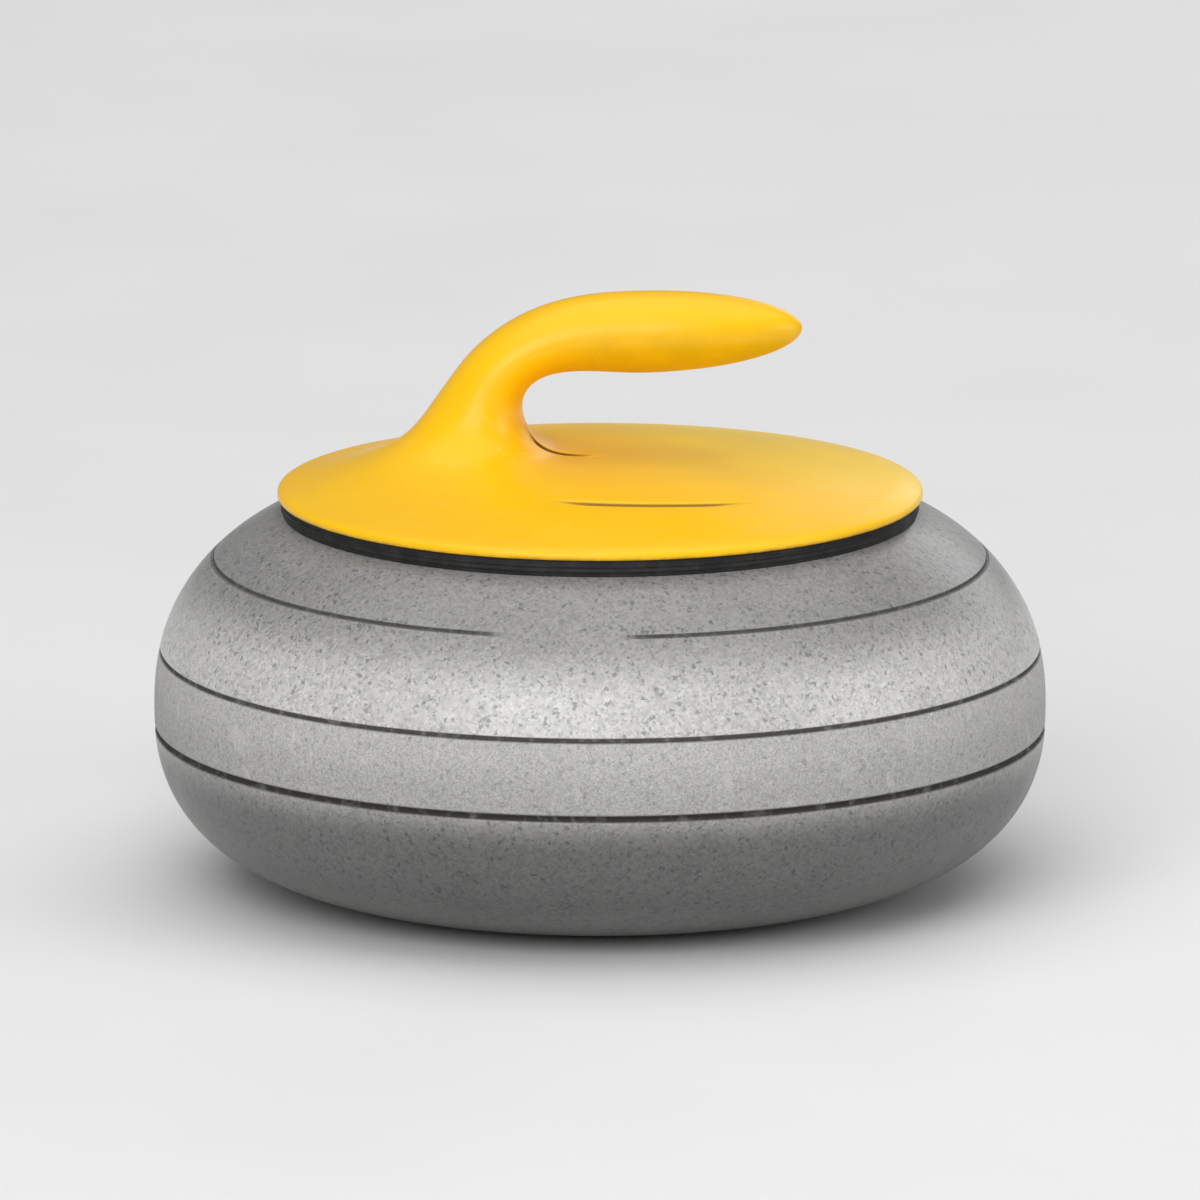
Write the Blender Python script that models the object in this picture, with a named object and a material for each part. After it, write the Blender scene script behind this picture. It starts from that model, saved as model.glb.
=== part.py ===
"""Curling stone: a turned granite body with a bonded running insert, bolted to a gooseneck handle.

Run with: blender --background --python part.py
The stone stands on its running band at z = 0, centred on the origin. The grip points along +X.
"""

import math

import bmesh
import bpy

MM = 0.001
FIT_GAP = 0.3 * MM  # air kept wherever two pieces meet

# Granite body. Each half of its outline is a superellipse that ends level, and the waist sits low.
STONE_RADIUS = 144 * MM
STONE_HEIGHT = 128 * MM
WAIST_HEIGHT = 59 * MM
LEVEL_RADIUS = 62 * MM
LOWER_HALF = (WAIST_HEIGHT, 2.45)  # height and exponent
UPPER_HALF = (STONE_HEIGHT - WAIST_HEIGHT, 2.2)
BELLY_STEPS = 18
CUP_DEPTH = 10 * MM  # the hollow inside each running ring
STONE_CUP_STEPS = 3
INSERT_CUP_STEPS = 5
BORE_RADIUS = 9 * MM
TOP_SEAT_RADIUS = 23 * MM
TOP_SEAT_EDGE = 1 * MM

# Lines turned into the belly, as (height, width, depth). The lower two edge the striking band.
TURNED_LINES = (
    (51.5 * MM, 1.6 * MM, 0.9 * MM),
    (76.5 * MM, 1.1 * MM, 0.7 * MM),
    (106.5 * MM, 1.0 * MM, 0.6 * MM),
)

# Running insert, bonded into a pocket in the body's underside.
INSERT_RADIUS = 78 * MM
INSERT_THICKNESS = 28 * MM
INSERT_HOLE_RADIUS = 17 * MM
RUNNING_BAND_OUTER = 68 * MM
BAND_SHOULDER = 0.3 * MM
BOND_THICKNESS = 0.6 * MM
POCKET_RADIUS = INSERT_RADIUS + BOND_THICKNESS + 2 * FIT_GAP
POCKET_TOP = INSERT_THICKNESS + BOND_THICKNESS + 2 * FIT_GAP

# Through bolt, 3/8 inch, with what it clamps. Heights stack up from the seat in the pocket.
BOLT_RADIUS = 4.76 * MM
BOLT_LENGTH = 114.3 * MM
BOLT_HEAD_HEIGHT = 6 * MM
BOLT_ACROSS_FLATS = 14.3 * MM
BOLT_CHAMFER = 0.8 * MM
SEAT_WASHER_RADII = (5.4 * MM, 15.5 * MM)
SEAT_WASHER_THICKNESS = 3 * MM
PLAIN_WASHER_RADII = (5.3 * MM, 13.5 * MM)
PLAIN_WASHER_THICKNESS = 2.5 * MM
LOCK_WASHER_RADII = (5.3 * MM, 8.9 * MM)
LOCK_WASHER_THICKNESS = 2.2 * MM
LOCK_WASHER_SPLIT = math.radians(14)
SEAT_WASHER_TOP = POCKET_TOP - FIT_GAP
PLAIN_WASHER_TOP = SEAT_WASHER_TOP - SEAT_WASHER_THICKNESS - FIT_GAP
LOCK_WASHER_TOP = PLAIN_WASHER_TOP - PLAIN_WASHER_THICKNESS - FIT_GAP
BOLT_HEAD_TOP = LOCK_WASHER_TOP - LOCK_WASHER_THICKNESS - FIT_GAP

# What stands on the top seat: pad, spacer, core plate and the threaded bush that the bolt pulls down.
TOP_SEAT = STONE_HEIGHT - CUP_DEPTH
PAD_RADIUS = 22 * MM
PAD_THICKNESS = 2.5 * MM
SPACER_HEIGHT = 7.4 * MM
SPACER_RADIUS = 16 * MM
PLATE_THICKNESS = 3 * MM
BUSH_BODY_RADIUS = 8.5 * MM
BUSH_FLANGE_RADIUS = 14 * MM
BUSH_FLANGE_THICKNESS = 2.6 * MM
HUB_HOLE_RADIUS = BUSH_BODY_RADIUS + FIT_GAP
SPACER_BOTTOM = TOP_SEAT + PAD_THICKNESS + 2 * FIT_GAP
PLATE_BOTTOM = SPACER_BOTTOM + SPACER_HEIGHT + FIT_GAP
PLATE_TOP = PLATE_BOTTOM + PLATE_THICKNESS

# Handle cover: a shallow paraboloid dome that runs up into the neck and the grip.
RIM_RADIUS = 104 * MM
RIM_WALL = 3 * MM
RIM_BOTTOM = 126.6 * MM
RIM_TOP = 128.6 * MM
DOME_TOP = 140.4 * MM
DOME_RISE = 11 * MM
DOME_WALL = 3 * MM
SKIN_SEGMENTS = 32

# Loft stations from the rim to the grip, in mm: (back x, back z, front x, front z, half width).
# The back rail climbs the neck's spine, and the front rail crosses the dome and turns under the grip.
HANDLE_STATIONS_MM = (
    (-102.9, 129.4, 102.9, 129.4, 102.9),
    (-94.6, 131.5, 68.0, 135.7, 81.3),
    (-86.6, 134.1, 41.0, 138.7, 63.8),
    (-78.6, 137.2, 19.5, 140.1, 49.0),
    (-71.2, 140.6, 3.1, 140.5, 37.2),
    (-64.4, 144.9, -8.6, 140.8, 28.4),
    (-58.6, 150.6, -16.7, 142.6, 22.4),
    (-53.5, 157.6, -22.1, 147.4, 18.5),
    (-48.3, 165.0, -24.8, 153.8, 16.5),
    (-42.2, 172.8, -24.0, 160.4, 15.7),
    (-32.9, 181.0, -18.7, 165.4, 15.2),
    (-19.5, 188.2, -9.8, 167.5, 15.0),
    (-3.1, 192.3, 1.0, 167.5, 15.0),
)
STATION_STEPS = 2

# The grip's end is a long nose, round in section, that closes at its tip.
NOSE_START_X = 14 * MM
NOSE_TIP_X = 65.0 * MM
NOSE_AXIS_Z = 180.25 * MM
NOSE_AXIS_RISE = 0.022
NOSE_HALF_HEIGHT = 13.15 * MM
NOSE_HALF_WIDTH = 15 * MM
NOSE_SHARPNESS = 0.52
NOSE_STEPS = 9

# Steel core: a bent rod inside the neck and the grip, standing on a plate under the dome.
ROD_RADIUS = 6 * MM
ROD_SPIGOT_RADIUS = 4.5 * MM
ROD_FOOT_X = -38.6 * MM
ROD_STRAIGHT_TOP = 142.5 * MM
ROD_END_X = 36 * MM
ROD_FIRST_STATION = 7
ROD_STEPS = 2
ROD_SEGMENTS = 16
CAVITY_CLOSING = 1 * MM
PLATE_CENTRE_RADIUS = 30 * MM
PLATE_NECK_RADIUS = 22 * MM
PLATE_SEGMENTS = 48

# Underside of the cover, inside the dome, from the rim to the rod's channel, in the stations' form.
# Where z is None the point lies on the dome's inner face.
HOLLOW_STATIONS_MM = (
    (-100.4, None, 100.4, None, 100.4),
    (-86.0, None, 76.0, None, 81.0),
    (-72.0, None, 44.0, None, 58.0),
    (-62.0, None, 14.0, None, 38.0),
    (-57.0, None, -9.0, None, 24.0),
    (-52.0, 141.0, -25.0, 138.5, 14.0),
    (-47.5, 147.0, -30.0, 145.0, 9.0),
)

PLATE_SCREW_PLACES = (
    (20 * MM, 14 * MM),
    (20 * MM, -14 * MM),
    (-48 * MM, 12 * MM),
    (-48 * MM, -12 * MM),
)
SCREW_RADIUS = 1.7 * MM
SCREW_HEAD_RADIUS = 3.5 * MM
SCREW_HEAD_HEIGHT = 2.2 * MM
SCREW_CROWN = 0.6  # share of the head's radius that is flat on top, and of its height that is round
SCREW_LENGTH = 8.4 * MM
SCREW_POINT_RADIUS = 0.34 * MM
SCREW_SEGMENTS = 12
BOSS_RADIUS = 4.4 * MM
BOSS_TOP = 138 * MM

RIB_COUNT = 12
RIB_WIDTH = 2 * MM
RIB_INNER_RADIUS = 65 * MM
RIB_OUTER_RADIUS = 96 * MM
RIB_CLEARANCE = 0.7 * MM
RING_RIB_RADII = (63.5 * MM, 66 * MM)

GASKET_RADII = (98 * MM, 102.8 * MM)

LARGE_SEGMENTS = 56
SMALL_SEGMENTS = 24


# ---- Tools ----


def clear_scene():
    for obj in list(bpy.data.objects):
        bpy.data.objects.remove(obj)


def make_look(name, colour, roughness, metallic=0.0):
    """A plain Principled material of one colour."""
    look = bpy.data.materials.new(name)
    look.use_nodes = True
    shader = look.node_tree.nodes["Principled BSDF"]
    shader.inputs["Base Color"].default_value = (*colour, 1.0)
    shader.inputs["Roughness"].default_value = roughness
    shader.inputs["Metallic"].default_value = metallic
    return look


def add_object(name, bm, look=None, sharp_degrees=35):
    """Turns a bmesh into a smooth-shaded object, sharp where its faces meet at more than the angle given."""
    bmesh.ops.recalc_face_normals(bm, faces=bm.faces)
    mesh = bpy.data.meshes.new(name)
    bm.to_mesh(mesh)
    bm.free()
    mesh.shade_smooth()
    mesh.set_sharp_from_angle(angle=math.radians(sharp_degrees))
    if look:
        mesh.materials.append(look)
    obj = bpy.data.objects.new(name, mesh)
    bpy.context.scene.collection.objects.link(obj)
    return obj


def turned(name, profile, look=None, segments=LARGE_SEGMENTS):
    """A ring turned about Z from a closed profile of (radius, height) points."""
    bm = bmesh.new()
    points = [bm.verts.new((radius, 0, height)) for radius, height in profile]
    edges = [bm.edges.new((point, points[i - 1])) for i, point in enumerate(points)]
    bmesh.ops.spin(
        bm,
        geom=points + edges,
        cent=(0, 0, 0),
        axis=(0, 0, 1),
        angle=math.tau,
        steps=segments,
        use_merge=True,
    )
    return add_object(name, bm, look)


def skinned(name, rings, look=None):
    """A solid through rings of equal length, with its two ends closed."""
    bm = bmesh.new()
    rows = [[bm.verts.new(point) for point in ring] for ring in rings]
    for near, far in zip(rows, rows[1:]):
        for i in range(len(near)):
            bm.faces.new((near[i - 1], near[i], far[i], far[i - 1]))
    bm.faces.new(rows[0])
    bm.faces.new(rows[-1])
    # A lofted quad is seldom flat, and the booleans need flat faces.
    bmesh.ops.triangulate(bm, faces=bm.faces)
    return add_object(name, bm, look)


def box_ring(inner, outer, bottom, top):
    """The profile of a plain turned ring."""
    return [(inner, bottom), (outer, bottom), (outer, top), (inner, top)]


def as_cutter(obj):
    """Marks a helper so that it is neither rendered nor built."""
    obj.hide_render = True
    obj.display_type = "WIRE"
    return obj


def combine(obj, other, operation):
    modifier = obj.modifiers.new(other.name, "BOOLEAN")
    modifier.operation = operation
    modifier.object = as_cutter(other)


def pegs(name, places, radius, bottom, top, segments=SCREW_SEGMENTS):
    """One helper holding an upright cylinder at each place."""
    bm = bmesh.new()
    for x, y in places:
        made = bmesh.ops.create_cone(
            bm, cap_ends=True, segments=segments, radius1=radius, radius2=radius, depth=top - bottom
        )
        bmesh.ops.translate(bm, verts=made["verts"], vec=(x, y, (top + bottom) / 2))
    return add_object(name, bm)


def spline(points, steps):
    """Catmull-Rom points through the given ones, with that many steps between neighbours."""
    padded = [points[0], *points, points[-1]]
    found = []
    for i in range(len(points) - 1):
        before, start, end, after = padded[i : i + 4]
        for step in range(steps):
            t = step / steps
            weights = (
                (-t + 2 * t**2 - t**3) / 2,
                (2 - 5 * t**2 + 3 * t**3) / 2,
                (t + 4 * t**2 - 3 * t**3) / 2,
                (t**3 - t**2) / 2,
            )
            found.append(
                tuple(
                    sum(w * value for w, value in zip(weights, values))
                    for values in zip(before, start, end, after)
                )
            )
    return [*found, points[-1]]


# ---- Granite ----


def belly_half(upper):
    return UPPER_HALF if upper else LOWER_HALF


def belly_point(angle):
    """(radius, height) on the belly. Angle 0 is the waist, and 90 degrees either way is level."""
    half_height, exponent = belly_half(angle > 0)
    radius = LEVEL_RADIUS + (STONE_RADIUS - LEVEL_RADIUS) * math.cos(angle) ** (2 / exponent)
    rise = half_height * abs(math.sin(angle)) ** (2 / exponent)
    return radius, WAIST_HEIGHT + math.copysign(rise, angle)


def belly_angle(height):
    """The angle at which the belly has a height."""
    half_height, exponent = belly_half(height > WAIST_HEIGHT)
    share = abs(height - WAIST_HEIGHT) / half_height
    return math.copysign(math.asin(share ** (exponent / 2)), height - WAIST_HEIGHT)


def off_level(radius, half):
    """How far a half of the belly has come from level at a radius."""
    half_height, exponent = half
    share = (radius - LEVEL_RADIUS) / (STONE_RADIUS - LEVEL_RADIUS)
    return half_height * (1 - (1 - share**exponent) ** (1 / exponent))


def underside(radius):
    return off_level(radius, LOWER_HALF)


def topside(radius):
    return STONE_HEIGHT - off_level(radius, UPPER_HALF)


def groove(height, width, depth):
    """The three points of a V cut square into the belly."""
    angle = belly_angle(height)
    radius, height = belly_point(angle)
    radius_on, height_on = belly_point(angle + math.radians(1))
    length = math.hypot(radius_on - radius, height_on - height)
    along = (radius_on - radius) / length, (height_on - height) / length
    return [
        (radius - along[0] * width / 2, height - along[1] * width / 2),
        (radius - along[1] * depth, height + along[0] * depth),
        (radius + along[0] * width / 2, height + along[1] * width / 2),
    ]


def belly_outline():
    """The belly from the pocket's mouth to the level top, with the turned lines in it."""
    lowest = belly_angle(underside(POCKET_RADIUS))
    highest = math.pi / 2
    step = (highest - lowest) / BELLY_STEPS
    lines = [(belly_angle(line[0]), groove(*line)) for line in TURNED_LINES]
    stops = [(lowest + i * step, None) for i in range(BELLY_STEPS + 1)]
    clear = [
        stop for stop in stops if all(abs(stop[0] - angle) > step / 3 for angle, _ in lines)
    ]
    outline = []
    for angle, cut in sorted(clear + lines, key=lambda stop: stop[0]):
        outline += cut or [belly_point(angle)]
    return outline


def cup_points(inner_radius, steps):
    """(radius, depth) points across a cup, from an inner radius out towards its level ring."""
    radii = [inner_radius + (LEVEL_RADIUS - inner_radius) * i / steps for i in range(steps)]
    return [(radius, CUP_DEPTH * (1 - (radius / LEVEL_RADIUS) ** 2)) for radius in radii]


def stone_body(look):
    profile = belly_outline()
    for radius, depth in reversed(cup_points(TOP_SEAT_RADIUS + TOP_SEAT_EDGE, STONE_CUP_STEPS)):
        profile.append((radius, STONE_HEIGHT - depth))
    profile += [
        (TOP_SEAT_RADIUS, TOP_SEAT),
        (BORE_RADIUS, TOP_SEAT),
        (BORE_RADIUS, POCKET_TOP),
        (POCKET_RADIUS, POCKET_TOP),
    ]
    turned("stone_body", profile, look)


def running_insert(look):
    profile = [
        *cup_points(INSERT_HOLE_RADIUS, INSERT_CUP_STEPS),
        (LEVEL_RADIUS, 0),
        (RUNNING_BAND_OUTER, 0),
        (RUNNING_BAND_OUTER + 2 * BAND_SHOULDER, BAND_SHOULDER),
        (INSERT_RADIUS, underside(INSERT_RADIUS)),
        (INSERT_RADIUS, INSERT_THICKNESS),
        (INSERT_HOLE_RADIUS, INSERT_THICKNESS),
    ]
    turned("running_insert", profile, look)


def insert_bond(look):
    """The epoxy film round and over the insert."""
    inside = INSERT_RADIUS + FIT_GAP
    under = INSERT_THICKNESS + FIT_GAP
    hole = INSERT_HOLE_RADIUS + BOND_THICKNESS
    mouth = underside(POCKET_RADIUS) + FIT_GAP
    profile = [
        (inside, mouth),
        (inside + BOND_THICKNESS, mouth),
        (inside + BOND_THICKNESS, under + BOND_THICKNESS),
        (hole, under + BOND_THICKNESS),
        (hole, under),
        (inside, under),
    ]
    turned("insert_bond", profile, look)


# ---- Bolt and washers ----


def hex_ring(height, across_flats, largest=None):
    """A hexagon's outline, cut back to a circle of radius largest if one is given."""
    ring = []
    for i in range(SMALL_SEGMENTS):
        angle = math.tau * i / SMALL_SEGMENTS
        from_flat = (angle + math.radians(30)) % math.radians(60) - math.radians(30)
        radius = across_flats / 2 / math.cos(from_flat)
        radius = min(radius, largest or radius)
        ring.append((radius * math.cos(angle), radius * math.sin(angle), height))
    return ring


def round_ring(height, radius, centre=(0, 0), segments=SMALL_SEGMENTS):
    angles = [math.tau * i / segments for i in range(segments)]
    return [
        (centre[0] + radius * math.cos(a), centre[1] + radius * math.sin(a), height)
        for a in angles
    ]


def clamp_bolt(look):
    """Hex-headed bolt, head down. Its thread is a plain cylinder here."""
    head_bottom = BOLT_HEAD_TOP - BOLT_HEAD_HEIGHT
    end = BOLT_HEAD_TOP + BOLT_LENGTH
    rings = [
        hex_ring(head_bottom, BOLT_ACROSS_FLATS, (BOLT_ACROSS_FLATS - BOLT_CHAMFER / 2) / 2),
        hex_ring(head_bottom + BOLT_CHAMFER, BOLT_ACROSS_FLATS),
        hex_ring(BOLT_HEAD_TOP, BOLT_ACROSS_FLATS),
        round_ring(BOLT_HEAD_TOP, BOLT_RADIUS),
        round_ring(end - BOLT_CHAMFER, BOLT_RADIUS),
        round_ring(end, BOLT_RADIUS - BOLT_CHAMFER),
    ]
    skinned("clamp_bolt", rings, look)


def lock_washer(look):
    """A spring washer: a square-section coil of one turn with a gap, flat when tight."""
    bottom = LOCK_WASHER_TOP - LOCK_WASHER_THICKNESS
    section = box_ring(*LOCK_WASHER_RADII, bottom, LOCK_WASHER_TOP)
    rings = []
    for i in range(SMALL_SEGMENTS + 1):
        angle = LOCK_WASHER_SPLIT / 2 + (math.tau - LOCK_WASHER_SPLIT) * i / SMALL_SEGMENTS
        rings.append([(r * math.cos(angle), r * math.sin(angle), height) for r, height in section])
    skinned("lock_washer", rings, look)


def washers_and_sleeve(looks):
    """The rings under the bolt's head, and the sleeve that centres the bolt in its bore."""
    rows = (
        ("seat_washer", SEAT_WASHER_RADII, SEAT_WASHER_TOP, SEAT_WASHER_THICKNESS, "rubber"),
        ("bolt_washer", PLAIN_WASHER_RADII, PLAIN_WASHER_TOP, PLAIN_WASHER_THICKNESS, "steel"),
    )
    for name, radii, top, thickness, look in rows:
        turned(name, box_ring(*radii, top - thickness, top), looks[look], SMALL_SEGMENTS)
    lock_washer(looks["steel"])
    sleeve = box_ring(
        BOLT_RADIUS + FIT_GAP, BORE_RADIUS - FIT_GAP, POCKET_TOP + FIT_GAP, TOP_SEAT - FIT_GAP
    )
    turned("bolt_sleeve", sleeve, looks["nylon"], SMALL_SEGMENTS)


# ---- Handle core ----


def core_path():
    """(x, z) points straight up from the foot, then midway between the loft's two rails."""
    points = [(ROD_FOOT_X, ROD_STRAIGHT_TOP)]
    for back_x, back_z, front_x, front_z, _ in HANDLE_STATIONS_MM[ROD_FIRST_STATION:]:
        points.append(((back_x + front_x) / 2 * MM, (back_z + front_z) / 2 * MM))
    for x in (NOSE_START_X, (NOSE_START_X + ROD_END_X) / 2, ROD_END_X):
        points.append((x, nose_axis(x)))
    return [(ROD_FOOT_X, PLATE_TOP + FIT_GAP), *spline(points, ROD_STEPS)]


def path_rings(path, radius, segments):
    """Round rings square to a path in the XZ plane, starting on its back side."""
    rings = []
    for i, (x, z) in enumerate(path):
        before, after = path[max(i - 1, 0)], path[min(i + 1, len(path) - 1)]
        heading = math.atan2(after[1] - before[1], after[0] - before[0])
        back = -math.sin(heading), math.cos(heading)
        ring = []
        for k in range(segments):
            angle = math.tau * k / segments
            out = radius * math.cos(angle)
            ring.append((x + out * back[0], radius * math.sin(angle), z + out * back[1]))
        rings.append(ring)
    return rings


def core_rod(look):
    """Round bar bent to the gooseneck, with a spigot that passes through the plate."""
    spigot = [(ROD_FOOT_X, PLATE_BOTTOM + FIT_GAP), (ROD_FOOT_X, PLATE_TOP + FIT_GAP)]
    rings = path_rings(spigot, ROD_SPIGOT_RADIUS, ROD_SEGMENTS)
    rings += path_rings(core_path(), ROD_RADIUS, ROD_SEGMENTS)
    skinned("core_rod", rings, look)


def core_plate(look):
    """Flat plate round the bolt and the rod's foot, with holes for them and for its screws."""
    bm = bmesh.new()
    circles = ((0, PLATE_CENTRE_RADIUS), (ROD_FOOT_X, PLATE_NECK_RADIUS))
    for x, radius in circles:
        for point in round_ring(PLATE_BOTTOM, radius, (x, 0), PLATE_SEGMENTS):
            bm.verts.new(point)
    hull = bmesh.ops.convex_hull(bm, input=bm.verts)
    inside = list({v for v in hull["geom_interior"] if isinstance(v, bmesh.types.BMVert)})
    bmesh.ops.delete(bm, geom=inside, context="VERTS")
    bmesh.ops.dissolve_limit(bm, angle_limit=math.radians(1), verts=bm.verts, edges=bm.edges)
    lifted = bmesh.ops.extrude_face_region(bm, geom=bm.faces[:])
    raised = [v for v in lifted["geom"] if isinstance(v, bmesh.types.BMVert)]
    bmesh.ops.translate(bm, verts=raised, vec=(0, 0, PLATE_THICKNESS))
    plate = add_object("core_plate", bm, look)

    below, above = PLATE_BOTTOM - PLATE_THICKNESS, PLATE_TOP + PLATE_THICKNESS
    hub = pegs("hub_hole", [(0, 0)], HUB_HOLE_RADIUS, below, above, SMALL_SEGMENTS)
    foot_radius = ROD_SPIGOT_RADIUS + FIT_GAP
    foot = pegs("rod_hole", [(ROD_FOOT_X, 0)], foot_radius, below, above, ROD_SEGMENTS)
    screws = pegs("screw_holes", PLATE_SCREW_PLACES, SCREW_RADIUS + FIT_GAP, below, above)
    for cutter in (hub, foot, screws):
        combine(plate, cutter, "DIFFERENCE")


def hub_pieces(looks):
    """Pad, spacer and threaded bush, stacked round the bolt between the stone and the plate."""
    pad_bottom = TOP_SEAT + FIT_GAP
    pad = box_ring(HUB_HOLE_RADIUS, PAD_RADIUS, pad_bottom, pad_bottom + PAD_THICKNESS)
    turned("seat_pad", pad, looks["rubber"], SMALL_SEGMENTS)
    spacer = box_ring(HUB_HOLE_RADIUS, SPACER_RADIUS, SPACER_BOTTOM, SPACER_BOTTOM + SPACER_HEIGHT)
    turned("hub_spacer", spacer, looks["aluminium"], SMALL_SEGMENTS)

    thread = BOLT_RADIUS + FIT_GAP
    flange_bottom = PLATE_TOP + FIT_GAP
    bush = [
        (thread, SPACER_BOTTOM + FIT_GAP),
        (BUSH_BODY_RADIUS, SPACER_BOTTOM + FIT_GAP),
        (BUSH_BODY_RADIUS, flange_bottom),
        (BUSH_FLANGE_RADIUS, flange_bottom),
        (BUSH_FLANGE_RADIUS, flange_bottom + BUSH_FLANGE_THICKNESS),
        (thread, flange_bottom + BUSH_FLANGE_THICKNESS),
    ]
    turned("threaded_bush", bush, looks["brass"], SMALL_SEGMENTS)


def plate_screws(look):
    """Pan-head screws, driven up through the plate into the cover's bosses."""
    seat = PLATE_BOTTOM - FIT_GAP
    for number, place in enumerate(PLATE_SCREW_PLACES, start=1):
        outline = (
            (seat - SCREW_HEAD_HEIGHT, SCREW_HEAD_RADIUS * SCREW_CROWN),
            (seat - SCREW_HEAD_HEIGHT * SCREW_CROWN, SCREW_HEAD_RADIUS),
            (seat, SCREW_HEAD_RADIUS),
            (seat, SCREW_RADIUS),
            (seat + SCREW_LENGTH - 2 * SCREW_RADIUS, SCREW_RADIUS),
            (seat + SCREW_LENGTH, SCREW_POINT_RADIUS),
        )
        rings = [round_ring(height, radius, place, SCREW_SEGMENTS) for height, radius in outline]
        skinned(f"plate_screw_{number}", rings, look)


# ---- Handle cover ----


def dome_height(x, wall=0.0):
    """The dome's height over a point of the X axis, or that of its inner face for a wall."""
    return DOME_TOP - wall - DOME_RISE * (x / RIM_RADIUS) ** 2


def nose_axis(x):
    return NOSE_AXIS_Z + NOSE_AXIS_RISE * (x - NOSE_START_X)


def nose_stations():
    """Stations along the grip's end, closer together towards the tip."""
    stations = []
    for i in range(NOSE_STEPS):
        share = math.sin(math.pi / 2 * i / NOSE_STEPS)
        x = NOSE_START_X + (NOSE_TIP_X - NOSE_START_X) * share
        swell = (1 - share**2) ** NOSE_SHARPNESS
        half = NOSE_HALF_HEIGHT * swell
        axis = nose_axis(x)
        stations.append((x, axis + half, x, axis - half, NOSE_HALF_WIDTH * swell))
    return stations


def skin_ring(station):
    """The ellipse between a station's back and front points, with its half width across."""
    back_x, back_z, front_x, front_z, half_width = station
    centre_x, centre_z = (back_x + front_x) / 2, (back_z + front_z) / 2
    ring = []
    for i in range(SKIN_SEGMENTS):
        angle = math.tau * i / SKIN_SEGMENTS
        along = math.cos(angle)
        ring.append(
            (
                centre_x + (back_x - centre_x) * along,
                half_width * math.sin(angle),
                centre_z + (back_z - centre_z) * along,
            )
        )
    return ring


def flat_station(radius, height):
    """A level round station, centred on the stone."""
    return (-radius, height, radius, height, radius)


def outer_rings():
    """From the grip's tip back to the bottom of the rim."""
    lofted = [tuple(value * MM for value in station) for station in HANDLE_STATIONS_MM]
    grip = spline([*lofted, *nose_stations()], STATION_STEPS)
    rim = [flat_station(RIM_RADIUS, RIM_BOTTOM), flat_station(RIM_RADIUS, RIM_TOP)]
    return [skin_ring(station) for station in reversed(rim + grip)]


def hollow_rings():
    """From the bottom of the rim in under the dome, and up the rod's channel to its blind end."""
    stations = [flat_station(RIM_RADIUS - RIM_WALL, RIM_BOTTOM)]
    for back_x, back_z, front_x, front_z, half_width in HOLLOW_STATIONS_MM:
        back, front = back_x * MM, front_x * MM
        back_height = back_z * MM if back_z else dome_height(back, DOME_WALL)
        front_height = front_z * MM if front_z else dome_height(front, DOME_WALL)
        stations.append((back, back_height, front, front_height, half_width * MM))
    path = [point for point in core_path() if point[1] > stations[-1][1] + ROD_RADIUS / 2]
    path.append((path[-1][0] + CAVITY_CLOSING, path[-1][1]))
    channel = path_rings(path, ROD_RADIUS + FIT_GAP, SKIN_SEGMENTS)
    return [skin_ring(station) for station in stations] + channel


def ring_rib(cover):
    inner, outer = RING_RIB_RADII
    bottom = STONE_HEIGHT + RIB_CLEARANCE
    top = dome_height(inner, DOME_WALL / 2)
    combine(cover, turned("ring_rib", box_ring(inner, outer, bottom, top)), "UNION")


def rib_bottom(radius):
    """A straight line over the granite: the belly's slope halfway along the ribs, held clear of it."""
    middle = (RIB_INNER_RADIUS + RIB_OUTER_RADIUS) / 2
    slope = (topside(middle + MM) - topside(middle - MM)) / (2 * MM)
    return topside(middle) + RIB_CLEARANCE + slope * (radius - middle)


def radial_ribs(cover):
    """Ribs from the ring rib out towards the rim."""
    bm = bmesh.new()
    for number in range(RIB_COUNT):
        angle = math.tau * (number + 0.5) / RIB_COUNT
        along, across = (math.cos(angle), math.sin(angle)), (-math.sin(angle), math.cos(angle))
        corners = []
        for radius in (RIB_INNER_RADIUS, RIB_OUTER_RADIUS):
            for side in (-RIB_WIDTH / 2, RIB_WIDTH / 2):
                for height in (rib_bottom(radius), dome_height(radius, DOME_WALL / 2)):
                    x = radius * along[0] + side * across[0]
                    y = radius * along[1] + side * across[1]
                    corners.append(bm.verts.new((x, y, height)))
        bmesh.ops.convex_hull(bm, input=corners)
    combine(cover, add_object("radial_ribs", bm), "UNION")


def screw_bosses(cover):
    bosses = pegs("bosses", PLATE_SCREW_PLACES, BOSS_RADIUS, PLATE_TOP + FIT_GAP, BOSS_TOP)
    combine(cover, bosses, "UNION")
    holes = pegs(
        "boss_holes",
        PLATE_SCREW_PLACES,
        SCREW_RADIUS + FIT_GAP,
        PLATE_TOP - PLATE_THICKNESS,
        PLATE_BOTTOM + SCREW_LENGTH,
    )
    combine(cover, holes, "DIFFERENCE")


def handle_cover(look):
    """Dome, neck and grip in one moulding, hollow beneath, with ribs and screw bosses."""
    cover = skinned("handle_cover", outer_rings() + hollow_rings(), look)
    ring_rib(cover)
    radial_ribs(cover)
    screw_bosses(cover)


def rim_gasket(look):
    """Rubber ring that fills the gap between the cover's rim and the sloping granite."""
    inner, outer = GASKET_RADII
    top = RIM_BOTTOM - FIT_GAP
    beds = [
        (radius, topside(radius) + FIT_GAP)
        for radius in (inner, (inner + outer) / 2, outer)
    ]
    turned("rim_gasket", [*beds, (outer, top), (inner, top)], look)


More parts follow.
